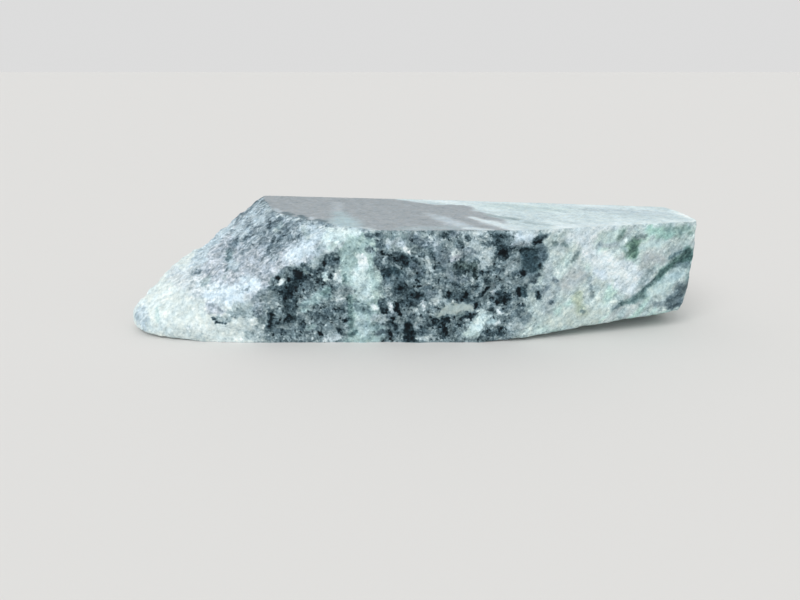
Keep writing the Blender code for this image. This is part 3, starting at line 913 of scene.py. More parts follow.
    "right_strand": ("strand_green", (91, 45), (93, 48), 1.1),
    "right_green": ("green", (96.5, 40), (99.5, 43), 2.3),
    "right_green_low": ("green", (99, 37.5), (100.5, 41.5), 1.5),
    "right_green_head": ("olive_grey", (100, 45), (103, 45.5), 0.9),
    "right_green_tail": ("sage", (93, 41), (95.5, 40), 0.9),
    "right_mint": ("mint", (105.5, 49), (116.5, 47), 2.1),
    "right_mint_side": ("mint", (109.5, 44.5), (115, 45.5), 1.5),
    "right_mint_end": ("mint_shade", (114, 48.5), (124.5, 48), 1.8),
    "right_sage_end": ("mint_shade", (120.5, 45.5), (125.5, 45.5), 1.3),
    "right_mint_pale": ("pale_mint", (102.5, 41), (111, 42), 2.1),
    "right_rose_high": ("rose_grey_pale", (116, 37.5), (123.5, 39), 1.9),
    "right_rose_mid": ("rose", (106, 35.5), (113, 34.5), 2.0),
    "right_halo": ("grey_sage", (103.5, 22.5), (109, 28.5), 1.8),
    "right_sage_side": ("pale_sage", (123, 44.5), (125, 39.5), 1.7),
    "right_pale_low": ("cream_white", (69, 13.5), (85.5, 11.5), 2.1),
    "right_ochre": ("ochre", (74, 19.5), (77.5, 9), 2.0),
    "right_ochre_dot": ("olive_grey", (76.5, 12.5), (77.5, 12), 0.8),
    "right_cream": ("cream_white", (60.5, 9.5), (83, 7), 2.6),
    "seam_above": ("dull_teal", (117.5, 35), (124, 37.5), 1.0),
    "seam_side": ("teal", (123, 33), (128, 33.5), 1.5),
    "seam_top": ("teal", (126.5, 37), (126, 34), 1.9),
    "seam_high": ("teal", (126.5, 34.5), (120.5, 32.5), 2.3),
    "seam_mid": ("teal", (120, 32), (115, 29), 2.2),
    "seam_fall": ("teal", (115, 28.5), (112.5, 23.5), 1.7),
    "seam_low": ("teal_grey", (112.5, 23), (108.5, 19.5), 1.7),
    "seam_knee": ("teal_grey", (109.5, 22), (106, 19.5), 1.5),
    "seam_foot": ("teal_grey", (108, 18.5), (102.5, 16.5), 1.7),
    "seam_tail": ("teal_grey", (102, 15.5), (95.5, 14.5), 1.2),
    "seam_end": ("aqua_grey", (94, 13.5), (92, 12.5), 0.9),
    "seam_aqua": ("aqua", (116, 25), (113, 22.5), 1.2),
    "seam_under": ("aqua_pale", (123.5, 28.5), (116, 20.5), 2.2),
    "seam_skirt": ("dull_teal", (121.5, 30.5), (127.5, 30.5), 1.3),
    # Painted shade along the right end's edge, where it turns away from the light.
    "end_edge_shade": ("aqua", (128, 29), (127.5, 23.5), 1.3),
    "seam_under_low": ("pale_mint", (109.5, 19), (118, 21.5), 2.1),
    "under_fade": ("grey", (123.5, 21.5), (120.5, 16), 1.6),
    # Painted shade along the lower right edge, where it turns down and away from the light.
    "under_rim_shade": ("grey", (112.5, 13), (120, 12), 1.2),
    # The corner facet's grey stone, darkened further as painted shade where it faces down.
    "under_grey_shade": ("ash", (127, 20.5), (124.5, 18.5), 2.2),
    "under_line": ("iron", (123, 18.5), (120.5, 15), 1.3),
    "under_low": ("iron", (121, 15), (125, 16), 1.4),
    # Painted shade along the lower right edge.
    "under_foot_shade": ("iron", (120, 11.5), (126.5, 12), 1.5),
    "under_lilac": ("lilac_grey", (126, 14), (123.5, 13.5), 0.9),
    "tip_grey": ("grey_sage", (-94, 24), (-91.5, 25.5), 1.1),
    "slope_pale_spot": ("pale_blue", (-80, 41), (-77.5, 42.5), 1.1),
    "slope_pale_high": ("pale_blue", (-75.5, 45.5), (-70.5, 48), 1.2),
    "slope_blue_spot": ("bluegrey", (-61.5, 36), (-59, 37.5), 1.1),
    "left_grey_spot": ("grey", (-59.5, 21.5), (-57, 23.5), 1.2),
    "left_lilac_spot": ("lilac_grey", (-66, 23.5), (-63.5, 24.5), 1.1),
    "left_lilac_low": ("lilac_grey", (-67, 16.5), (-65.5, 18.5), 1.1),
    "left_grey_low": ("grey", (-66.5, 11.5), (-64, 12), 1.2),
    "slope_grey_spot": ("grey_sage", (-48.5, 48), (-45.5, 45.5), 1.0),
    "left_blue_spot": ("pale_blue", (-40.5, 40), (-38, 42), 1.0),
    "left_teal_spot": ("teal_grey", (-38.5, 23), (-36, 25), 1.1),
    "left_aqua_spot": ("aqua", (-48, 15.5), (-45.5, 16), 1.0),
    "left_aqua_low_fleck": ("aqua", (-45.5, 7), (-43, 8), 1.0),
    "band_grey_spot": ("grey_sage", (-32, 18), (-29.5, 19), 1.1),
    "band_aqua_spot": ("pale_aqua", (-31.5, 46), (-29, 47), 1.1),
    "band_pale_low": ("pale", (-36.5, 4), (-34, 5), 1.0),
    "band_teal_low": ("teal_grey", (-27, 4), (-24.5, 5), 1.0),
    "core_iron_low": ("iron", (-15, 4), (-12.5, 5), 1.1),
    "core_pale_low": ("pale", (-14, 9.5), (-11, 10.5), 1.0),
    "core_iron_spot": ("iron", (-12, 35), (-10, 37.5), 1.0),
    "core_sage_spot": ("grey_sage", (-9.5, 42), (-7.5, 44), 1.0),
    "core_iron_side": ("iron", (-8, 38.5), (-6.5, 39.5), 0.9),
    "middle_grey_low": ("grey", (-3, 14), (0.5, 15), 1.0),
    "middle_sage_top": ("grey_sage", (4.5, 49), (7, 50), 1.0),
    "middle_slate_low": ("slate", (5, 6.5), (7.5, 7.5), 1.0),
    "middle_slate_spot": ("slate_blue", (6, 25), (8.5, 26), 1.0),
    "middle_iron_spot": ("iron", (9.5, 32), (12.5, 32.5), 1.0),
    "middle_blue_top": ("bluegrey", (17, 49), (19.5, 50), 1.0),
    "middle_slate_side": ("slate", (20, 32), (22.5, 32.5), 1.0),
    "lower_iron_spot": ("iron", (35.5, 20.5), (37, 21.5), 1.0),
    "lower_iron_low": ("iron", (40, 15.5), (43, 16.5), 1.0),
    "lower_iron_side": ("iron", (44.5, 12.5), (47, 13.5), 1.0),
    "lower_grey_side": ("grey", (53, 24.5), (55.5, 26), 1.0),
    "lower_lilac_side": ("lilac_grey", (57.5, 23), (59.5, 25), 1.0),
    "right_grey_side": ("grey", (63, 22.5), (65, 24), 0.9),
    "right_teal_top": ("dull_teal", (55.5, 50), (58, 50.5), 1.0),
    "slope_pale_side": ("pale_blue", (-82.5, 31.5), (-78.5, 31), 1.1),
    "slope_white_spot": ("bluewhite", (-75, 27.5), (-72, 28.5), 1.0),
    "slope_blue_top": ("bluegrey", (-82, 42.5), (-78.5, 45), 1.0),
    "left_pale_foot": ("pale", (-68, 7.5), (-65.5, 8), 1.0),
    "slope_sage_spot": ("grey_sage", (-62.5, 45.5), (-60, 47), 1.0),
    "left_black_spot": ("black", (-57, 23.5), (-54.5, 24.5), 0.9),
    "left_iron_spot": ("iron", (-39.5, 32.5), (-37, 34.5), 1.0),
    "left_slate_spot": ("slate_blue", (-37.5, 15), (-35, 16), 1.0),
    "band_mint_spot": ("pale_mint", (-35.5, 43), (-33, 44.5), 1.0),
    "core_slate_spot": ("slate", (-12, 34), (-10, 35.5), 0.9),
    "core_lilac_spot": ("lilac_grey", (-10, 12.5), (-7, 13.5), 1.0),
    "middle_dusk_spot": ("dusk", (0.5, 36), (4.5, 32.5), 1.0),
    "middle_grey_foot": ("grey", (2, 8), (4.5, 9), 1.0),
    "middle_lilac_spot": ("lilac", (17.5, 38.5), (20, 39.5), 1.0),
    "lens_low": ("olive_grey", (20.5, 12.5), (23, 13.5), 0.9),
    "middle_dusk_side": ("dusk", (20.5, 29), (24.5, 30), 1.0),
    "middle_grey_spot": ("grey", (24, 38.5), (26.5, 39.5), 1.0),
    "lens_tip_slate": ("slate", (27, 19.5), (29, 21), 0.9),
    "upper_iron_left": ("iron", (32.5, 45), (35, 46), 1.0),
    "aqua_patch_side": ("aqua_pale", (34, 9.5), (36.5, 10.5), 1.0),
    "lower_grey_spot": ("grey", (34.5, 24.5), (37.5, 25.5), 1.0),
    "upper_iron_side": ("iron", (40, 46), (42.5, 47.5), 1.1),
    "lower_grey_top": ("grey", (45, 26.5), (47.5, 27.5), 1.0),
    "upper_pale_low_spot": ("pale_blue", (45, 45.5), (47, 46.5), 0.9),
    "navy_foot_iron": ("iron", (52.5, 30.5), (55.5, 31), 1.0),
}

# Markings of the upper saw cut, in plan: mineral, start and end (x, y), half width in mm, cover.
CUT_MARKINGS = {
    "wedge_back": ("sawn_lilac", (-37, 22), (-35, 0), 2.5, 0.4),
    "wedge_mid": ("sawn_aqua", (-34, -4), (-31, -20), 3.6, 0.75),
    "wedge_front": ("sawn_aqua", (-31, -22), (-28, -38), 6.5, 0.95),
    "wedge_rim": ("sawn_white", (-35, -38), (-20, -41), 3.5, 0.75),
    "front_haze": ("sawn_aqua", (-2, -39), (18, -37), 4.0, 0.45),
    "flame_left_head": ("sawn_lilac", (8, -6), (15, -16), 2.2, 0.6),
    "flame_left": ("sawn_lilac", (14, -17), (24, -36), 3.8, 0.95),
    "flame_left_foot": ("sawn_white", (24, -38), (32, -42), 2.4, 0.8),
    "flame_right_head": ("sawn_white", (28, -15), (35, -26), 1.9, 0.9),
    "flame_right": ("sawn_white", (35, -26), (45, -40), 3.6, 0.95),
    "tongue": ("sawn_grey", (24, 2), (36, -9), 2.6, 0.9),
    "tongue_tip": ("sawn_sage", (36, -9), (47, -19), 2.0, 0.9),
    "haze_right": ("sawn_sage", (52, -26), (60, -33), 2.2, 0.45),
    # Painted highlight along the back edge of the upper saw cut.
    "back_edge_highlight": ("sawn_white", (6, 29), (58, 19), 4.0, 0.7),
    "mint_field": ("sawn_mint", (45, 14), (70, 6), 8.0, 0.6),
    "back_lilac": ("sawn_white", (74, 17), (100, 12), 3.0, 0.5),
    # Painted highlight along the upper saw cut's front rim.
    "front_rim_highlight": ("sawn_white", (66, -34), (92, -31), 4.0, 0.75),
    "end_shade": ("sawn_blue", (92, 5), (116, -4), 6.0, 0.4),
    # Painted highlight along the upper saw cut's right edge, by the worn bevel.
    "worn_edge_highlight": ("bevel_highlight_white", (129, -25), (130, 9), 2.8, 0.95),
    "chip_high": ("pale_blue", (-66, 5), (-63, -1), 1.8, 0.6),
    "chip_back": ("iron", (-60, -4), (-56, -9), 1.5, 0.75),
    "chip_mid": ("slate_blue", (-51, -11), (-49, -17), 1.6, 0.8),
    "chip_light": ("bluewhite", (-46, -15), (-44, -20), 1.4, 0.5),
    "chip_fore": ("iron", (-42, -20), (-39, -25), 1.3, 0.7),
}

GREEN_EDGE_Y = (-40, -16, 0, 13, 24, 45)            # where the pale right part begins, in plan, mm
GREEN_EDGE_X = (57, 48, 31, 15, 0, -22)
GREEN_LEAN = 0.22                                   # how far that border leans below a height
GREEN_LEAN_FROM = 50.0
CUT_EDGE_Y = (-42, -20, -10, 0, 15, 17, 24, 45)     # and where it begins on the upper saw cut
CUT_EDGE_X = (42, 42, 37, 31, 29, 13, 3, -22)
SLOPE_EDGE_X = (-66, -62, -54, -43, -28, -15)       # the slope's lower edge, in elevation, mm
SLOPE_EDGE_Z = (18, 29, 34, 37, 48, 52)
BAND_CENTRE_Z = (0, 25, 50)                         # the pale green band up the front
BAND_CENTRE_X = (-21.5, -22.5, -24.0)
BAND_HALF = 7.5
BAND_BORDER = (1.05, 0.60)                          # where it fades, in half widths
CRYSTAL_SPAN = 1.5                                  # width of the crystals that show, mm
FINE_SPAN = 0.8                                     # width of those that edge the small flecks
FLECK_HALF = 1.3                                    # half width of the widest small fleck
EDGE_SOFT = 0.95                                    # how far a marking's edge fades, in half widths
SLOPE_SOFT = 1.1                                    # the same on the slope
RIGHT_SOFT = 1.45                                   # and on the smeared right part
CUT_SOFT = 1.5                                      # and on the upper saw cut
STROKE_REACH = 1.075                                # where a marking's edge is half faded
RIGHT_SMEAR = 0.75                                  # how far the right part's borders cross crystals
CRYSTAL_CONTRAST = 0.13
CUT_SPECKLE = 0.22                                  # strongest speckle on the upper saw cut
SLOPE_GRAIN = (0.46, 0.36, 0.81)                    # the way that the streaks run
RIGHT_GRAIN = (0.64, 0.18, 0.75)
CUT_GRAIN = (0.75, -0.66, 0.00)

# Where a zone begins or ends along x, y or z, and how wide its border is, in mm.
BORDERS = {
    "fore": (0.0, 20.0),            # y, the marked side of the stone
    "speckled": (-15.0, 6.0),       # x, the dark speckled left part
    "green": (0.0, 5.0),            # from the green edge
    "veins": (60.0, 20.0),          # x, where the right part's veins set in
    "slope": (0.0, 3.0),            # z, from the slope's edge
    "slope_end": (-15.5, 3.0),      # x
    "slope_blue": (40.5, 9.0),      # z, the slope's bluer upper part
    "nose": (-67.0, 8.0),           # x, the pale foot of the left end
    "nose_top": (20.0, 8.0),        # z
    "tip": (-101.0, 14.0),          # x
    "rim_highlight": (49.2, 1.6),          # z, the upper rim's chipped edge and the painted highlight along it
    "rim_highlight_right": (54.0, 8.0),    # x
    "cut_pale": (0.0, 4.0),         # from the upper saw cut's edge
    "cut_clouds": (0.0, 3.0),
    "back_veins": (0.0, 30.0),      # x, the back's veined part
}
VEIN_BORDER = (0.225, 0.35)         # in the strength of the vein noise
VEIN_COVER = 0.6
VEIN_TONE = 0.05                    # how far veins, broad clouds and sawn clouds change the tone
BROAD_TONE = 0.05
CUT_BROAD_TONE = 0.015
CUT_CLOUD_TONE = 0.07
WANDER_REACH = 4.0                  # how far the zones' borders wander, mm
BACK_WANDER = 1.5                   # and how many times as far on the back and on the nose
NOSE_WANDER = 1.6
BLUE_WANDER = 4.5
CUT_WANDER = 1.6
NOSE_LEAN = 0.12                    # how far the nose's border leans with height
BACK_VEIN_WEIGHT = 0.9
CUT_DRIFT_WEIGHT = 0.8
RIM_HIGHLIGHT_SHARPNESS = 1.6
RIM_HIGHLIGHT_PALE = 0.6                   # strongest cover of the two pale colours of the rim's painted highlight
RIM_HIGHLIGHT_WHITE = 0.4
CLUMP_BORDER = (0.35, 0.20)         # in the strength of the clump noise
CLUMP_TONE = (0.62, 0.20)           # clumps lie on stone darker than this

# Smooth noise: its span in mm and its seed.
BROAD = (9.0, 3)
WANDER = (10.0, 12)
CLUMPS = (6.0, 5)
# patches of the upper rim's painted highlight
RIM_HIGHLIGHT_PATCHES = (3.0, 9)
# Streaky noise: the way that it runs, how far it is drawn out, its span and its seed.
VEINS = (RIGHT_GRAIN, 5.0, 4.5, 6)
BACK_VEINS = (RIGHT_GRAIN, 3.0, 12.0, 11)
CUT_STREAKS = (CUT_GRAIN, 4.0, 5.0, 7)
CUT_DRIFTS = (CUT_GRAIN, 3.0, 11.0, 10)
# Wandering pushes: their span and reach in mm, and their seed.
WIDE_PUSH = (6.0, 1.2, 1)
CLOSE_PUSH = (2.2, 0.6, 2)
FLECK_PUSH = (2.2, 0.4, 8)
CUT_PUSH = (7.0, 1.2, 4)
PUSH_DRAW = 1795484056                              # fixes every push, which would else follow the clock


def noise_field(mm, span, seed):
    """Smooth noise from -1 to 1 with the given span, at each point."""
    shift = Vector((seed * 13.7, seed * 5.1, seed * 9.3))
    return np.array([noise.noise(Vector(p) / span + shift) for p in mm])


def drift(mm, span, reach, seed):
    """A small wandering push for each point, so that borders come out ragged."""
    shift = Vector((seed * 3.3, seed * 17.1, seed * 7.7))
    return reach * np.array([noise.noise_vector(Vector(p) / span + shift) for p in mm])


def streaks(mm, grain, stretch, span, seed):
    """Smooth noise drawn out along a grain direction."""
    grain = np.array(grain) / np.linalg.norm(grain)
    squeezed = mm - np.outer(mm @ grain, grain) * (1.0 - 1.0 / stretch)
    return noise_field(squeezed, span, seed)


def crystal_seats(mm, span):
    """The middle of the crystal that each point lies in, and that crystal's own chance number."""
    seats = np.array([noise.voronoi(Vector(p) / span)[1][0] for p in mm])
    luck = np.modf(np.abs(np.sin(seats @ (12.9898, 78.233, 37.719)) * 43758.5453))[0]
    return seats * span, luck


def ease(value):
    """Nought below nought, one above one, smooth between."""
    value = np.clip(value, 0.0, 1.0)
    return value * value * (3.0 - 2.0 * value)


def after(value, border, width):
    """Nought before a border and one after it, fading across its width."""
    return ease((value - border) / width + 0.5)


def before(value, border, width):
    """One before a border and nought after it, fading across its width."""
    return ease((border - value) / width + 0.5)


def stroke_cover(spots, start, end, half, soft):
    """How far each flat spot is covered by a stroke, whose edge fades over soft half widths."""
    start, run = np.array(start, float), np.subtract(end, start).astype(float)
    part = np.clip(((spots - start) @ run) / max(run @ run, 1e-6), 0.0, 1.0)
    far = np.linalg.norm(spots - start - part[:, None] * run, axis=1) / half
    return before(far, STROKE_REACH, soft)


def lay(paint, cover, mineral):
    """Lay a mineral over the paint where it covers."""
    tone, speckle, tint = MINERALS[mineral]
    coat = np.array((tone, speckle) + tint)
    paint += np.reshape(cover, (-1, 1)) * (coat - paint)


def paint_zones(paint, mm, spots, kinds):
    """Lay the stone's broad zones, from the crystals' spots."""
    x, y, z = spots.T
    broad = noise_field(mm, *BROAD)
    wander = WANDER_REACH * noise_field(mm, *WANDER)
    lay(paint, 1.0, "coarse")
    lay(paint, before(x, *BORDERS["speckled"]), "speckled")
    band = np.abs(x + wander - np.interp(z, BAND_CENTRE_Z, BAND_CENTRE_X)) / BAND_HALF
    lay(paint, before(band, *BAND_BORDER) * before(y, *BORDERS["fore"]), "sage")
    past_green = x - np.interp(y, GREEN_EDGE_Y, GREEN_EDGE_X) + GREEN_LEAN * (GREEN_LEAN_FROM - z)
    green = after(past_green + BACK_WANDER * wander * kinds["back"], *BORDERS["green"])
    lay(paint, green, "streaky")
    veins = streaks(mm, *VEINS) + BACK_VEIN_WEIGHT * kinds["back"] * streaks(mm, *BACK_VEINS)
    veined = VEIN_COVER * green * np.maximum(after(x, *BORDERS["veins"]), kinds["back"])
    lay(paint, veined * after(veins, *VEIN_BORDER), "mint")
    lay(paint, veined * after(-veins, *VEIN_BORDER), "rose")
    paint[:, 0] += VEIN_TONE * veins * green
    above = z - np.interp(x, SLOPE_EDGE_X, SLOPE_EDGE_Z)
    slope = after(above, *BORDERS["slope"]) * before(x, *BORDERS["slope_end"])
    lay(paint, slope, "lilac")
    lay(paint, slope * after(z + BLUE_WANDER * broad, *BORDERS["slope_blue"]), "bluegrey")
    foot = before(x - NOSE_WANDER * wander - NOSE_LEAN * z, *BORDERS["nose"])
    lay(paint, foot * before(z, *BORDERS["nose_top"]), "nose")
    lay(paint, before(x, *BORDERS["tip"]), "nose")
    paint[:, 0] += BROAD_TONE * broad


def paint_markings(paint, spots, fine_spots, seen, kinds):
    """Lay the named markings, in elevation; the small ones keep to the finer crystals."""
    soft = EDGE_SOFT + (SLOPE_SOFT - EDGE_SOFT) * kinds["slope"]
    soft += (RIGHT_SOFT - EDGE_SOFT) * kinds["right"]
    for mineral, start, end, half in MARKINGS.values():
        flat = (fine_spots if half < FLECK_HALF else spots)[:, [0, 2]]
        lay(paint, stroke_cover(flat, start, end, half, soft) * seen, mineral)


def paint_clumps_and_highlights(paint, mm, broken, seen, kinds):
    """Lay the back's dark clumps, a painted highlight on the worn bevel, and the upper rim's chipped edge
    with a painted highlight.
    """
    clumps = after(noise_field(mm, *CLUMPS), *CLUMP_BORDER) * before(paint[:, 0], *CLUMP_TONE)
    lay(paint, broken * kinds["back"] * clumps, "slate")
    # Painted highlight on the worn bevel.
    lay(paint, broken * kinds["worn"], "bevel_highlight_white")
    # Painted highlight along the upper rim, in patches: pale all along, whiter to the right.
    patches = ease(0.5 + RIM_HIGHLIGHT_SHARPNESS * noise_field(mm, *RIM_HIGHLIGHT_PATCHES))
    highlit_rim = after(mm[:, 2], *BORDERS["rim_highlight"]) * patches * seen
    lay(paint, RIM_HIGHLIGHT_PALE * highlit_rim, "pale")
    lay(paint, RIM_HIGHLIGHT_WHITE * highlit_rim * after(mm[:, 0], *BORDERS["rim_highlight_right"]), "white")


def sawn_paint(mm):
    """Paint of the upper saw cut, in plan."""
    paint = np.zeros((len(mm), 5))
    lay(paint, 1.0, "sawn_grey")
    plan = mm[:, :2] + drift(mm, *CUT_PUSH)[:, :2]
    past_edge = plan[:, 0] - np.interp(plan[:, 1], CUT_EDGE_Y, CUT_EDGE_X)
    broad = noise_field(mm, *BROAD)
    lay(paint, after(past_edge + CUT_WANDER * broad, *BORDERS["cut_pale"]), "sawn_pale")
    for mineral, start, end, half, strength in CUT_MARKINGS.values():
        lay(paint, strength * stroke_cover(plan, start, end, half, CUT_SOFT), mineral)
    clouds = streaks(mm, *CUT_STREAKS) + CUT_DRIFT_WEIGHT * streaks(mm, *CUT_DRIFTS)
    clouds *= after(past_edge, *BORDERS["cut_clouds"])
    paint[:, 0] += CUT_BROAD_TONE * broad + CUT_CLOUD_TONE * clouds
    paint[:, 1] = np.minimum(paint[:, 1], CUT_SPECKLE)
    return paint


def paint_stone(places, kinds):
    """Tone, speckle and tint of the stone at each point, from its zones and markings."""
    mm = places / MM
    seats, luck = crystal_seats(mm, CRYSTAL_SPAN)
    smeared = seats + RIGHT_SMEAR * kinds["right"][:, None] * (mm - seats)
    spots = smeared + drift(smeared, *WIDE_PUSH) + drift(smeared, *CLOSE_PUSH)
    fine_spots = crystal_seats(mm, FINE_SPAN)[0] + drift(seats, *FLECK_PUSH)
    sawn = ease(kinds["sawn"])
    broken = 1.0 - sawn
    seen = broken * (1.0 - kinds["back"])
    paint = np.ones((len(mm), 5))
    paint_zones(paint, mm, spots, kinds)
    paint[:, 0] += CRYSTAL_CONTRAST * (luck - 0.5) * paint[:, 1]
    paint_markings(paint, spots, fine_spots, seen, kinds)
    paint_clumps_and_highlights(paint, mm, broken, seen, kinds)
    return paint * broken[:, None] + sawn_paint(mm) * sawn[:, None]


def store(mesh, name, values):
    """Keep one number, or one colour, for each point of the mesh."""
    if values.ndim == 1:
        mesh.attributes.new(name, "FLOAT", "POINT").data.foreach_set("value", values.astype(np.float32))
        return
    color = np.ones((len(values), 4), np.float32)
    color[:, :3] = values
    mesh.attributes.new(name, "FLOAT_COLOR", "POINT").data.foreach_set("color", color.ravel())


# ---------------------------------------------------------------- the stone's material
def shade(red, green, blue):
    """Scene colour for a colour given as a screen's 0 to 255 values."""
    parts = [c / 255.0 for c in (red, green, blue)]
    return tuple(c / 12.92 if c <= 0.04045 else ((c + 0.055) / 1.055) ** 2.4 for c in parts) + (1.0,)


STONE_GREYS = (
    (0.06, shade(4, 14, 20)),
    (0.16, shade(22, 38, 44)),
    (0.30, shade(60, 78, 85)),
    (0.47, shade(104, 124, 131)),
    (0.58, shade(133, 152, 158)),
    (0.77, shade(183, 201, 206)),
    (0.93, shade(224, 239, 241)),
    (1.00, shade(244, 252, 254)),
)


WARM_CAST = (1.025, 1.0, 0.975, 1.0)
COOL_CAST = (0.975, 1.0, 1.025, 1.0)
CAST_EDGE = 0.18            # how sharply the two casts part

# Clouds of the texture: span, detail and roughness.
CLOUDS = {"mottle": (4.6, 2.0, 0.6), "grit": (1.15, 3.0, 0.65)}
SLOPE_LINES = (2.2, 3.0, 0.6)
RIGHT_LINES = (1.6, 3.0, 0.6)
RIGHT_SWEEPS = (2.2, 2.0, 0.5)
CASTS = (3.0, 2.0, 0.5)
LINE_STRETCH = 2.2
SWEEP_STRETCH = 5.0
# Crystals of the texture: span.
CRYSTALS = {
    "mosaic": 1.7, "small": 0.8, "fine": 0.45, "fleck": 1.05, "flake": 1.9, "chip": 1.3, "scale": 1.4}
SLIVERS = 0.75              # drawn out along the right part's grain
SIDE_HALF = 20.0            # half the width over which the slope's streaks turn into the right part's
# Weight of each layer in what it goes into.
SLOPE_FLAKES = {"flake": 0.30, "chip": 0.22}
RIGHT_FLAKES = {"sliver": 0.14, "scale": 0.10}
RIGHT_STREAKS = {"right_lines": 0.6, "sweeps": 1.0}
BLOCKY = {"mottle": 0.90, "grit": 0.40, "mosaic": 0.20, "small": 0.22, "fine": 0.22}
STREAKY = {"lines": 0.55, "mottle": 0.50, "grit": 0.32, "flakes": 1.0, "small": 0.18, "fine": 0.14}
PALE_FLECKS = (0.43, 0.47)  # the lightest crystals, and the darkest
DARK_FLECKS = (0.44, 0.47)
PALE_FLECK_TONE = 0.26
DARK_FLECK_TONE = 0.34
FLECKS_LOST = 0.6           # share of the flecks' strength that streaky stone loses

CUT_ROUGHNESS = 0.52
BREAK_ROUGHNESS = 0.16      # what a broken face adds
GRIT_ROUGHNESS = 0.30
CUT_BUMP = 0.10             # share of the texture's height that the saw left
SMALL_BUMP = 0.1
BUMP_STRENGTH = 0.5
BUMP_HEIGHT = 0.0005
STONE_SHINE = 0.16


def along_grain(bench, place, grain, stretch):
    """Position squeezed along a grain direction, so that a noise on it draws out into streaks."""
    grain = Vector(grain).normalized()
    run = bench.value("ShaderNodeVectorMath", {"operation": "DOT_PRODUCT"}, {0: place, 1: grain}, "Value")
    back = bench.scaled(grain, run * (1.0 / stretch - 1.0))
    return bench.value("ShaderNodeVectorMath", {"operation": "ADD"}, {0: place, 1: back})


def cloud(bench, place, span, detail, rough):
    """Soft noise about nought."""
    values = {"Vector": place, "Scale": 1.0 / span, "Detail": detail, "Roughness": rough}
    return bench.value("ShaderNodeTexNoise", None, values) - 0.5


def crystals(bench, place, span):
    """One random lightness for each crystal, about nought."""
    values = {"Vector": place, "Scale": 1.0 / span}
    cells = bench.value("ShaderNodeTexVoronoi", {"feature": "F1"}, values, "Color")
    return bench.value("ShaderNodeSeparateColor", None, {0: cells}, 0) - 0.5


def weighed(layers, weights):
    """The sum of the weighted layers."""
    return sum(layers[name] * weight for name, weight in weights.items())


def texture_layers(bench, place):
    """Every layer of the stone's texture, each about nought."""
    layers = {name: cloud(bench, place, *made) for name, made in CLOUDS.items()}
    layers.update({name: crystals(bench, place, span) for name, span in CRYSTALS.items()})
    side = bench.value("ShaderNodeSeparateXYZ", None, {0: place}, 0).rise(-SIDE_HALF, SIDE_HALF)
    right_place = along_grain(bench, place, RIGHT_GRAIN, LINE_STRETCH)
    slope_lines = cloud(bench, along_grain(bench, place, SLOPE_GRAIN, LINE_STRETCH), *SLOPE_LINES)
    layers["right_lines"] = cloud(bench, right_place, *RIGHT_LINES)
    layers["sweeps"] = cloud(bench, along_grain(bench, place, RIGHT_GRAIN, SWEEP_STRETCH), *RIGHT_SWEEPS)
    layers["sliver"] = crystals(bench, right_place, SLIVERS)
    layers["lines"] = slope_lines.towards(weighed(layers, RIGHT_STREAKS), side)
    layers["flakes"] = weighed(layers, SLOPE_FLAKES).towards(weighed(layers, RIGHT_FLAKES), side)
    return layers


def soapstone():
    """Crystals and clouds of dark and pale minerals in the stone's grey, waxy where they are pale."""
    material, bench, shader = new_material("soapstone")
    place = bench.scaled(bench.node("ShaderNodeTexCoord").outputs["Object"], 1.0 / MM)
    tone, speckle, rough, streak = (
        bench.value("ShaderNodeAttribute", {"attribute_name": name}, None, "Fac")
        for name in ("tone", "speckle", "rough", "streak"))
    tint = bench.value("ShaderNodeAttribute", {"attribute_name": "tint"}, None, "Color")
    layers = texture_layers(bench, place)
    fleck = layers["fleck"]
    flecks = fleck.rise(*PALE_FLECKS) * PALE_FLECK_TONE - (-fleck).rise(*DARK_FLECKS) * DARK_FLECK_TONE
    texture = weighed(layers, BLOCKY).towards(weighed(layers, STREAKY), streak)
    texture = texture + flecks * (1.0 - streak * FLECKS_LOST)
    light = (tone + texture * speckle).clamp()
    grey = bench.value("ShaderNodeValToRGB", {"stops": STONE_GREYS}, {0: light})
    cast = bench.mixed(cloud(bench, place, *CASTS).rise(-CAST_EDGE, CAST_EDGE), WARM_CAST, COOL_CAST)
    tinted = bench.mixed(1.0, grey, tint, "MULTIPLY")
    gloss = CUT_ROUGHNESS + rough * BREAK_ROUGHNESS + layers["grit"] * GRIT_ROUGHNESS
    height = texture * (CUT_BUMP + rough * (1.0 - CUT_BUMP)) + layers["small"] * SMALL_BUMP
    bump = bench.value(
        "ShaderNodeBump", None,
        {"Strength": BUMP_STRENGTH, "Distance": BUMP_HEIGHT, "Height": height})
    bench.fill(shader, {
        "Base Color": bench.mixed(1.0, tinted, cast, "MULTIPLY"),
        "Roughness": gloss.clamp(),
        "Normal": bump,
        "Specular IOR Level": STONE_SHINE,
    })
    return material


# ---------------------------------------------------------------- the finished piece
NOSE_STREAK = 0.5           # how streaky the nose and the pale part of the back are
BACK_STREAK = 0.8


def points_of(mesh):
    """The places of a mesh's points."""
    places = np.empty(len(mesh.vertices) * 3, np.float32)
    mesh.vertices.foreach_get("co", places)
    return places.reshape(-1, 3)


def finished_slab():
    """The slab with its painted minerals, painted shade and painted highlights, and its grain, as one
    closed mesh in the frame's place.
    """
    mesh, kinds = stone_mesh()
    places = points_of(mesh).astype(float)
    paint = paint_stone(places, kinds)
    pale_back = kinds["back"] * after(places[:, 0] / MM, *BORDERS["back_veins"])
    streak = kinds["right"] + kinds["slope"] + NOSE_STREAK * kinds["nose"] + BACK_STREAK * pale_back
    store(mesh, "tone", paint[:, 0])
    store(mesh, "speckle", paint[:, 1])
    store(mesh, "tint", paint[:, 2:])
    store(mesh, "streak", np.clip(streak, 0.0, 1.0))
    store(mesh, "rough", 1.0 - kinds["sawn"])
    made = grained(mesh, soapstone())
    made.name = "soapstone_surface"
    keep_within(made)
    return add_object("soapstone_surface", made)


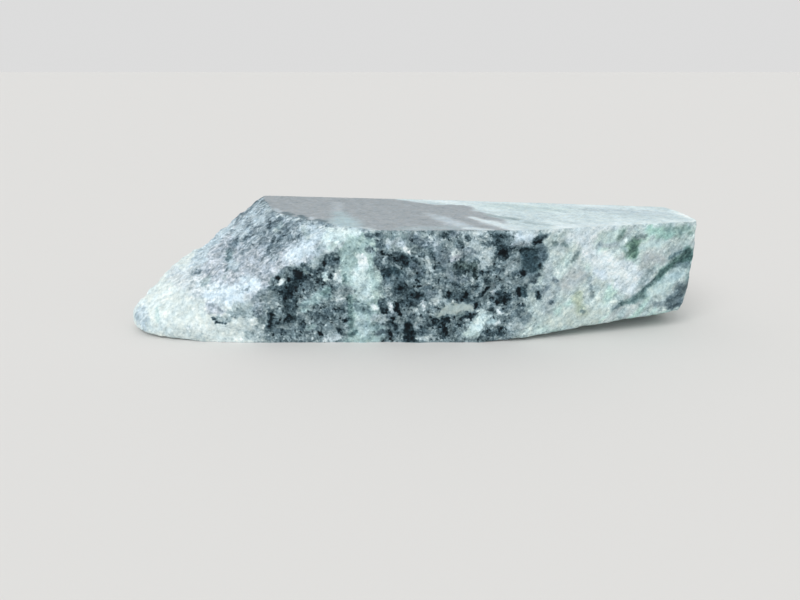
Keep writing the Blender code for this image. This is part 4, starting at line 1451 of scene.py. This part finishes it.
def keep_within(mesh):
    """Hold every point inside the CAD solid's own box."""
    low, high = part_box(NODE)
    places = np.clip(points_of(mesh), np.array(low, np.float32), np.array(high, np.float32))
    mesh.vertices.foreach_set("co", places.ravel())
    mesh.update()


# ---------------------------------------------------------------- studio and camera
def studio():
    """A pale floor under an even sky, and one broad lamp far off to the front."""
    material, bench, shader = new_material("pale_floor")
    bench.fill(shader, {
        "Base Color": FLOOR_COLOR, "Roughness": FLOOR_ROUGHNESS, "Specular IOR Level": FLOOR_SHINE})
    corners = [(x * FLOOR_HALF, y * FLOOR_HALF, 0.0) for x, y in ((-1, -1), (1, -1), (1, 1), (-1, 1))]
    mesh = bpy.data.meshes.new("floor")
    mesh.from_pydata(corners, [], [(0, 1, 2, 3)])
    mesh.materials.append(material)
    floor = add_object("floor", mesh)
    world = bpy.data.worlds.new("soft_sky")
    world.use_nodes = True
    sky = {"Color": SKY_COLOR, "Strength": SKY_LIGHT}
    Bench(world.node_tree).fill(world.node_tree.nodes["Background"], sky)
    bpy.context.scene.world = world
    sun = bpy.data.lights.new("broad_lamp", "SUN")
    sun.angle = LAMP_SPREAD
    sun.energy = LAMP_LIGHT
    lamp = add_object("broad_lamp", sun)
    lamp.rotation_euler = Vector(LAMP_FROM).to_track_quat("Z", "Y").to_euler()


def camera():
    """The camera, level across and pitched down as its horizon says."""
    lens = bpy.data.cameras.new("camera")
    lens.sensor_width = SENSOR_MM
    lens.lens = SENSOR_MM * FOCAL_PIXELS / PICTURE[0]
    lens.clip_start = NEAREST
    made = add_object("camera", lens)
    made.location = Vector((0.0, -CAMERA_TO_FRONT, CAMERA_HEIGHT)) - MIDDLE
    pitch = math.atan2(PICTURE[1] / 2 - HORIZON_PIXEL, FOCAL_PIXELS)
    made.rotation_euler = (math.pi / 2 - pitch, 0.0, 0.0)
    bpy.context.scene.camera = made


def main():
    """Build the slab, its studio and its camera."""
    noise.seed_set(PUSH_DRAW)
    slab = finished_slab()
    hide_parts(NODE)
    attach(slab, "root")
    studio()
    camera()
    bpy.context.scene.view_settings.view_transform = "Standard"


main()
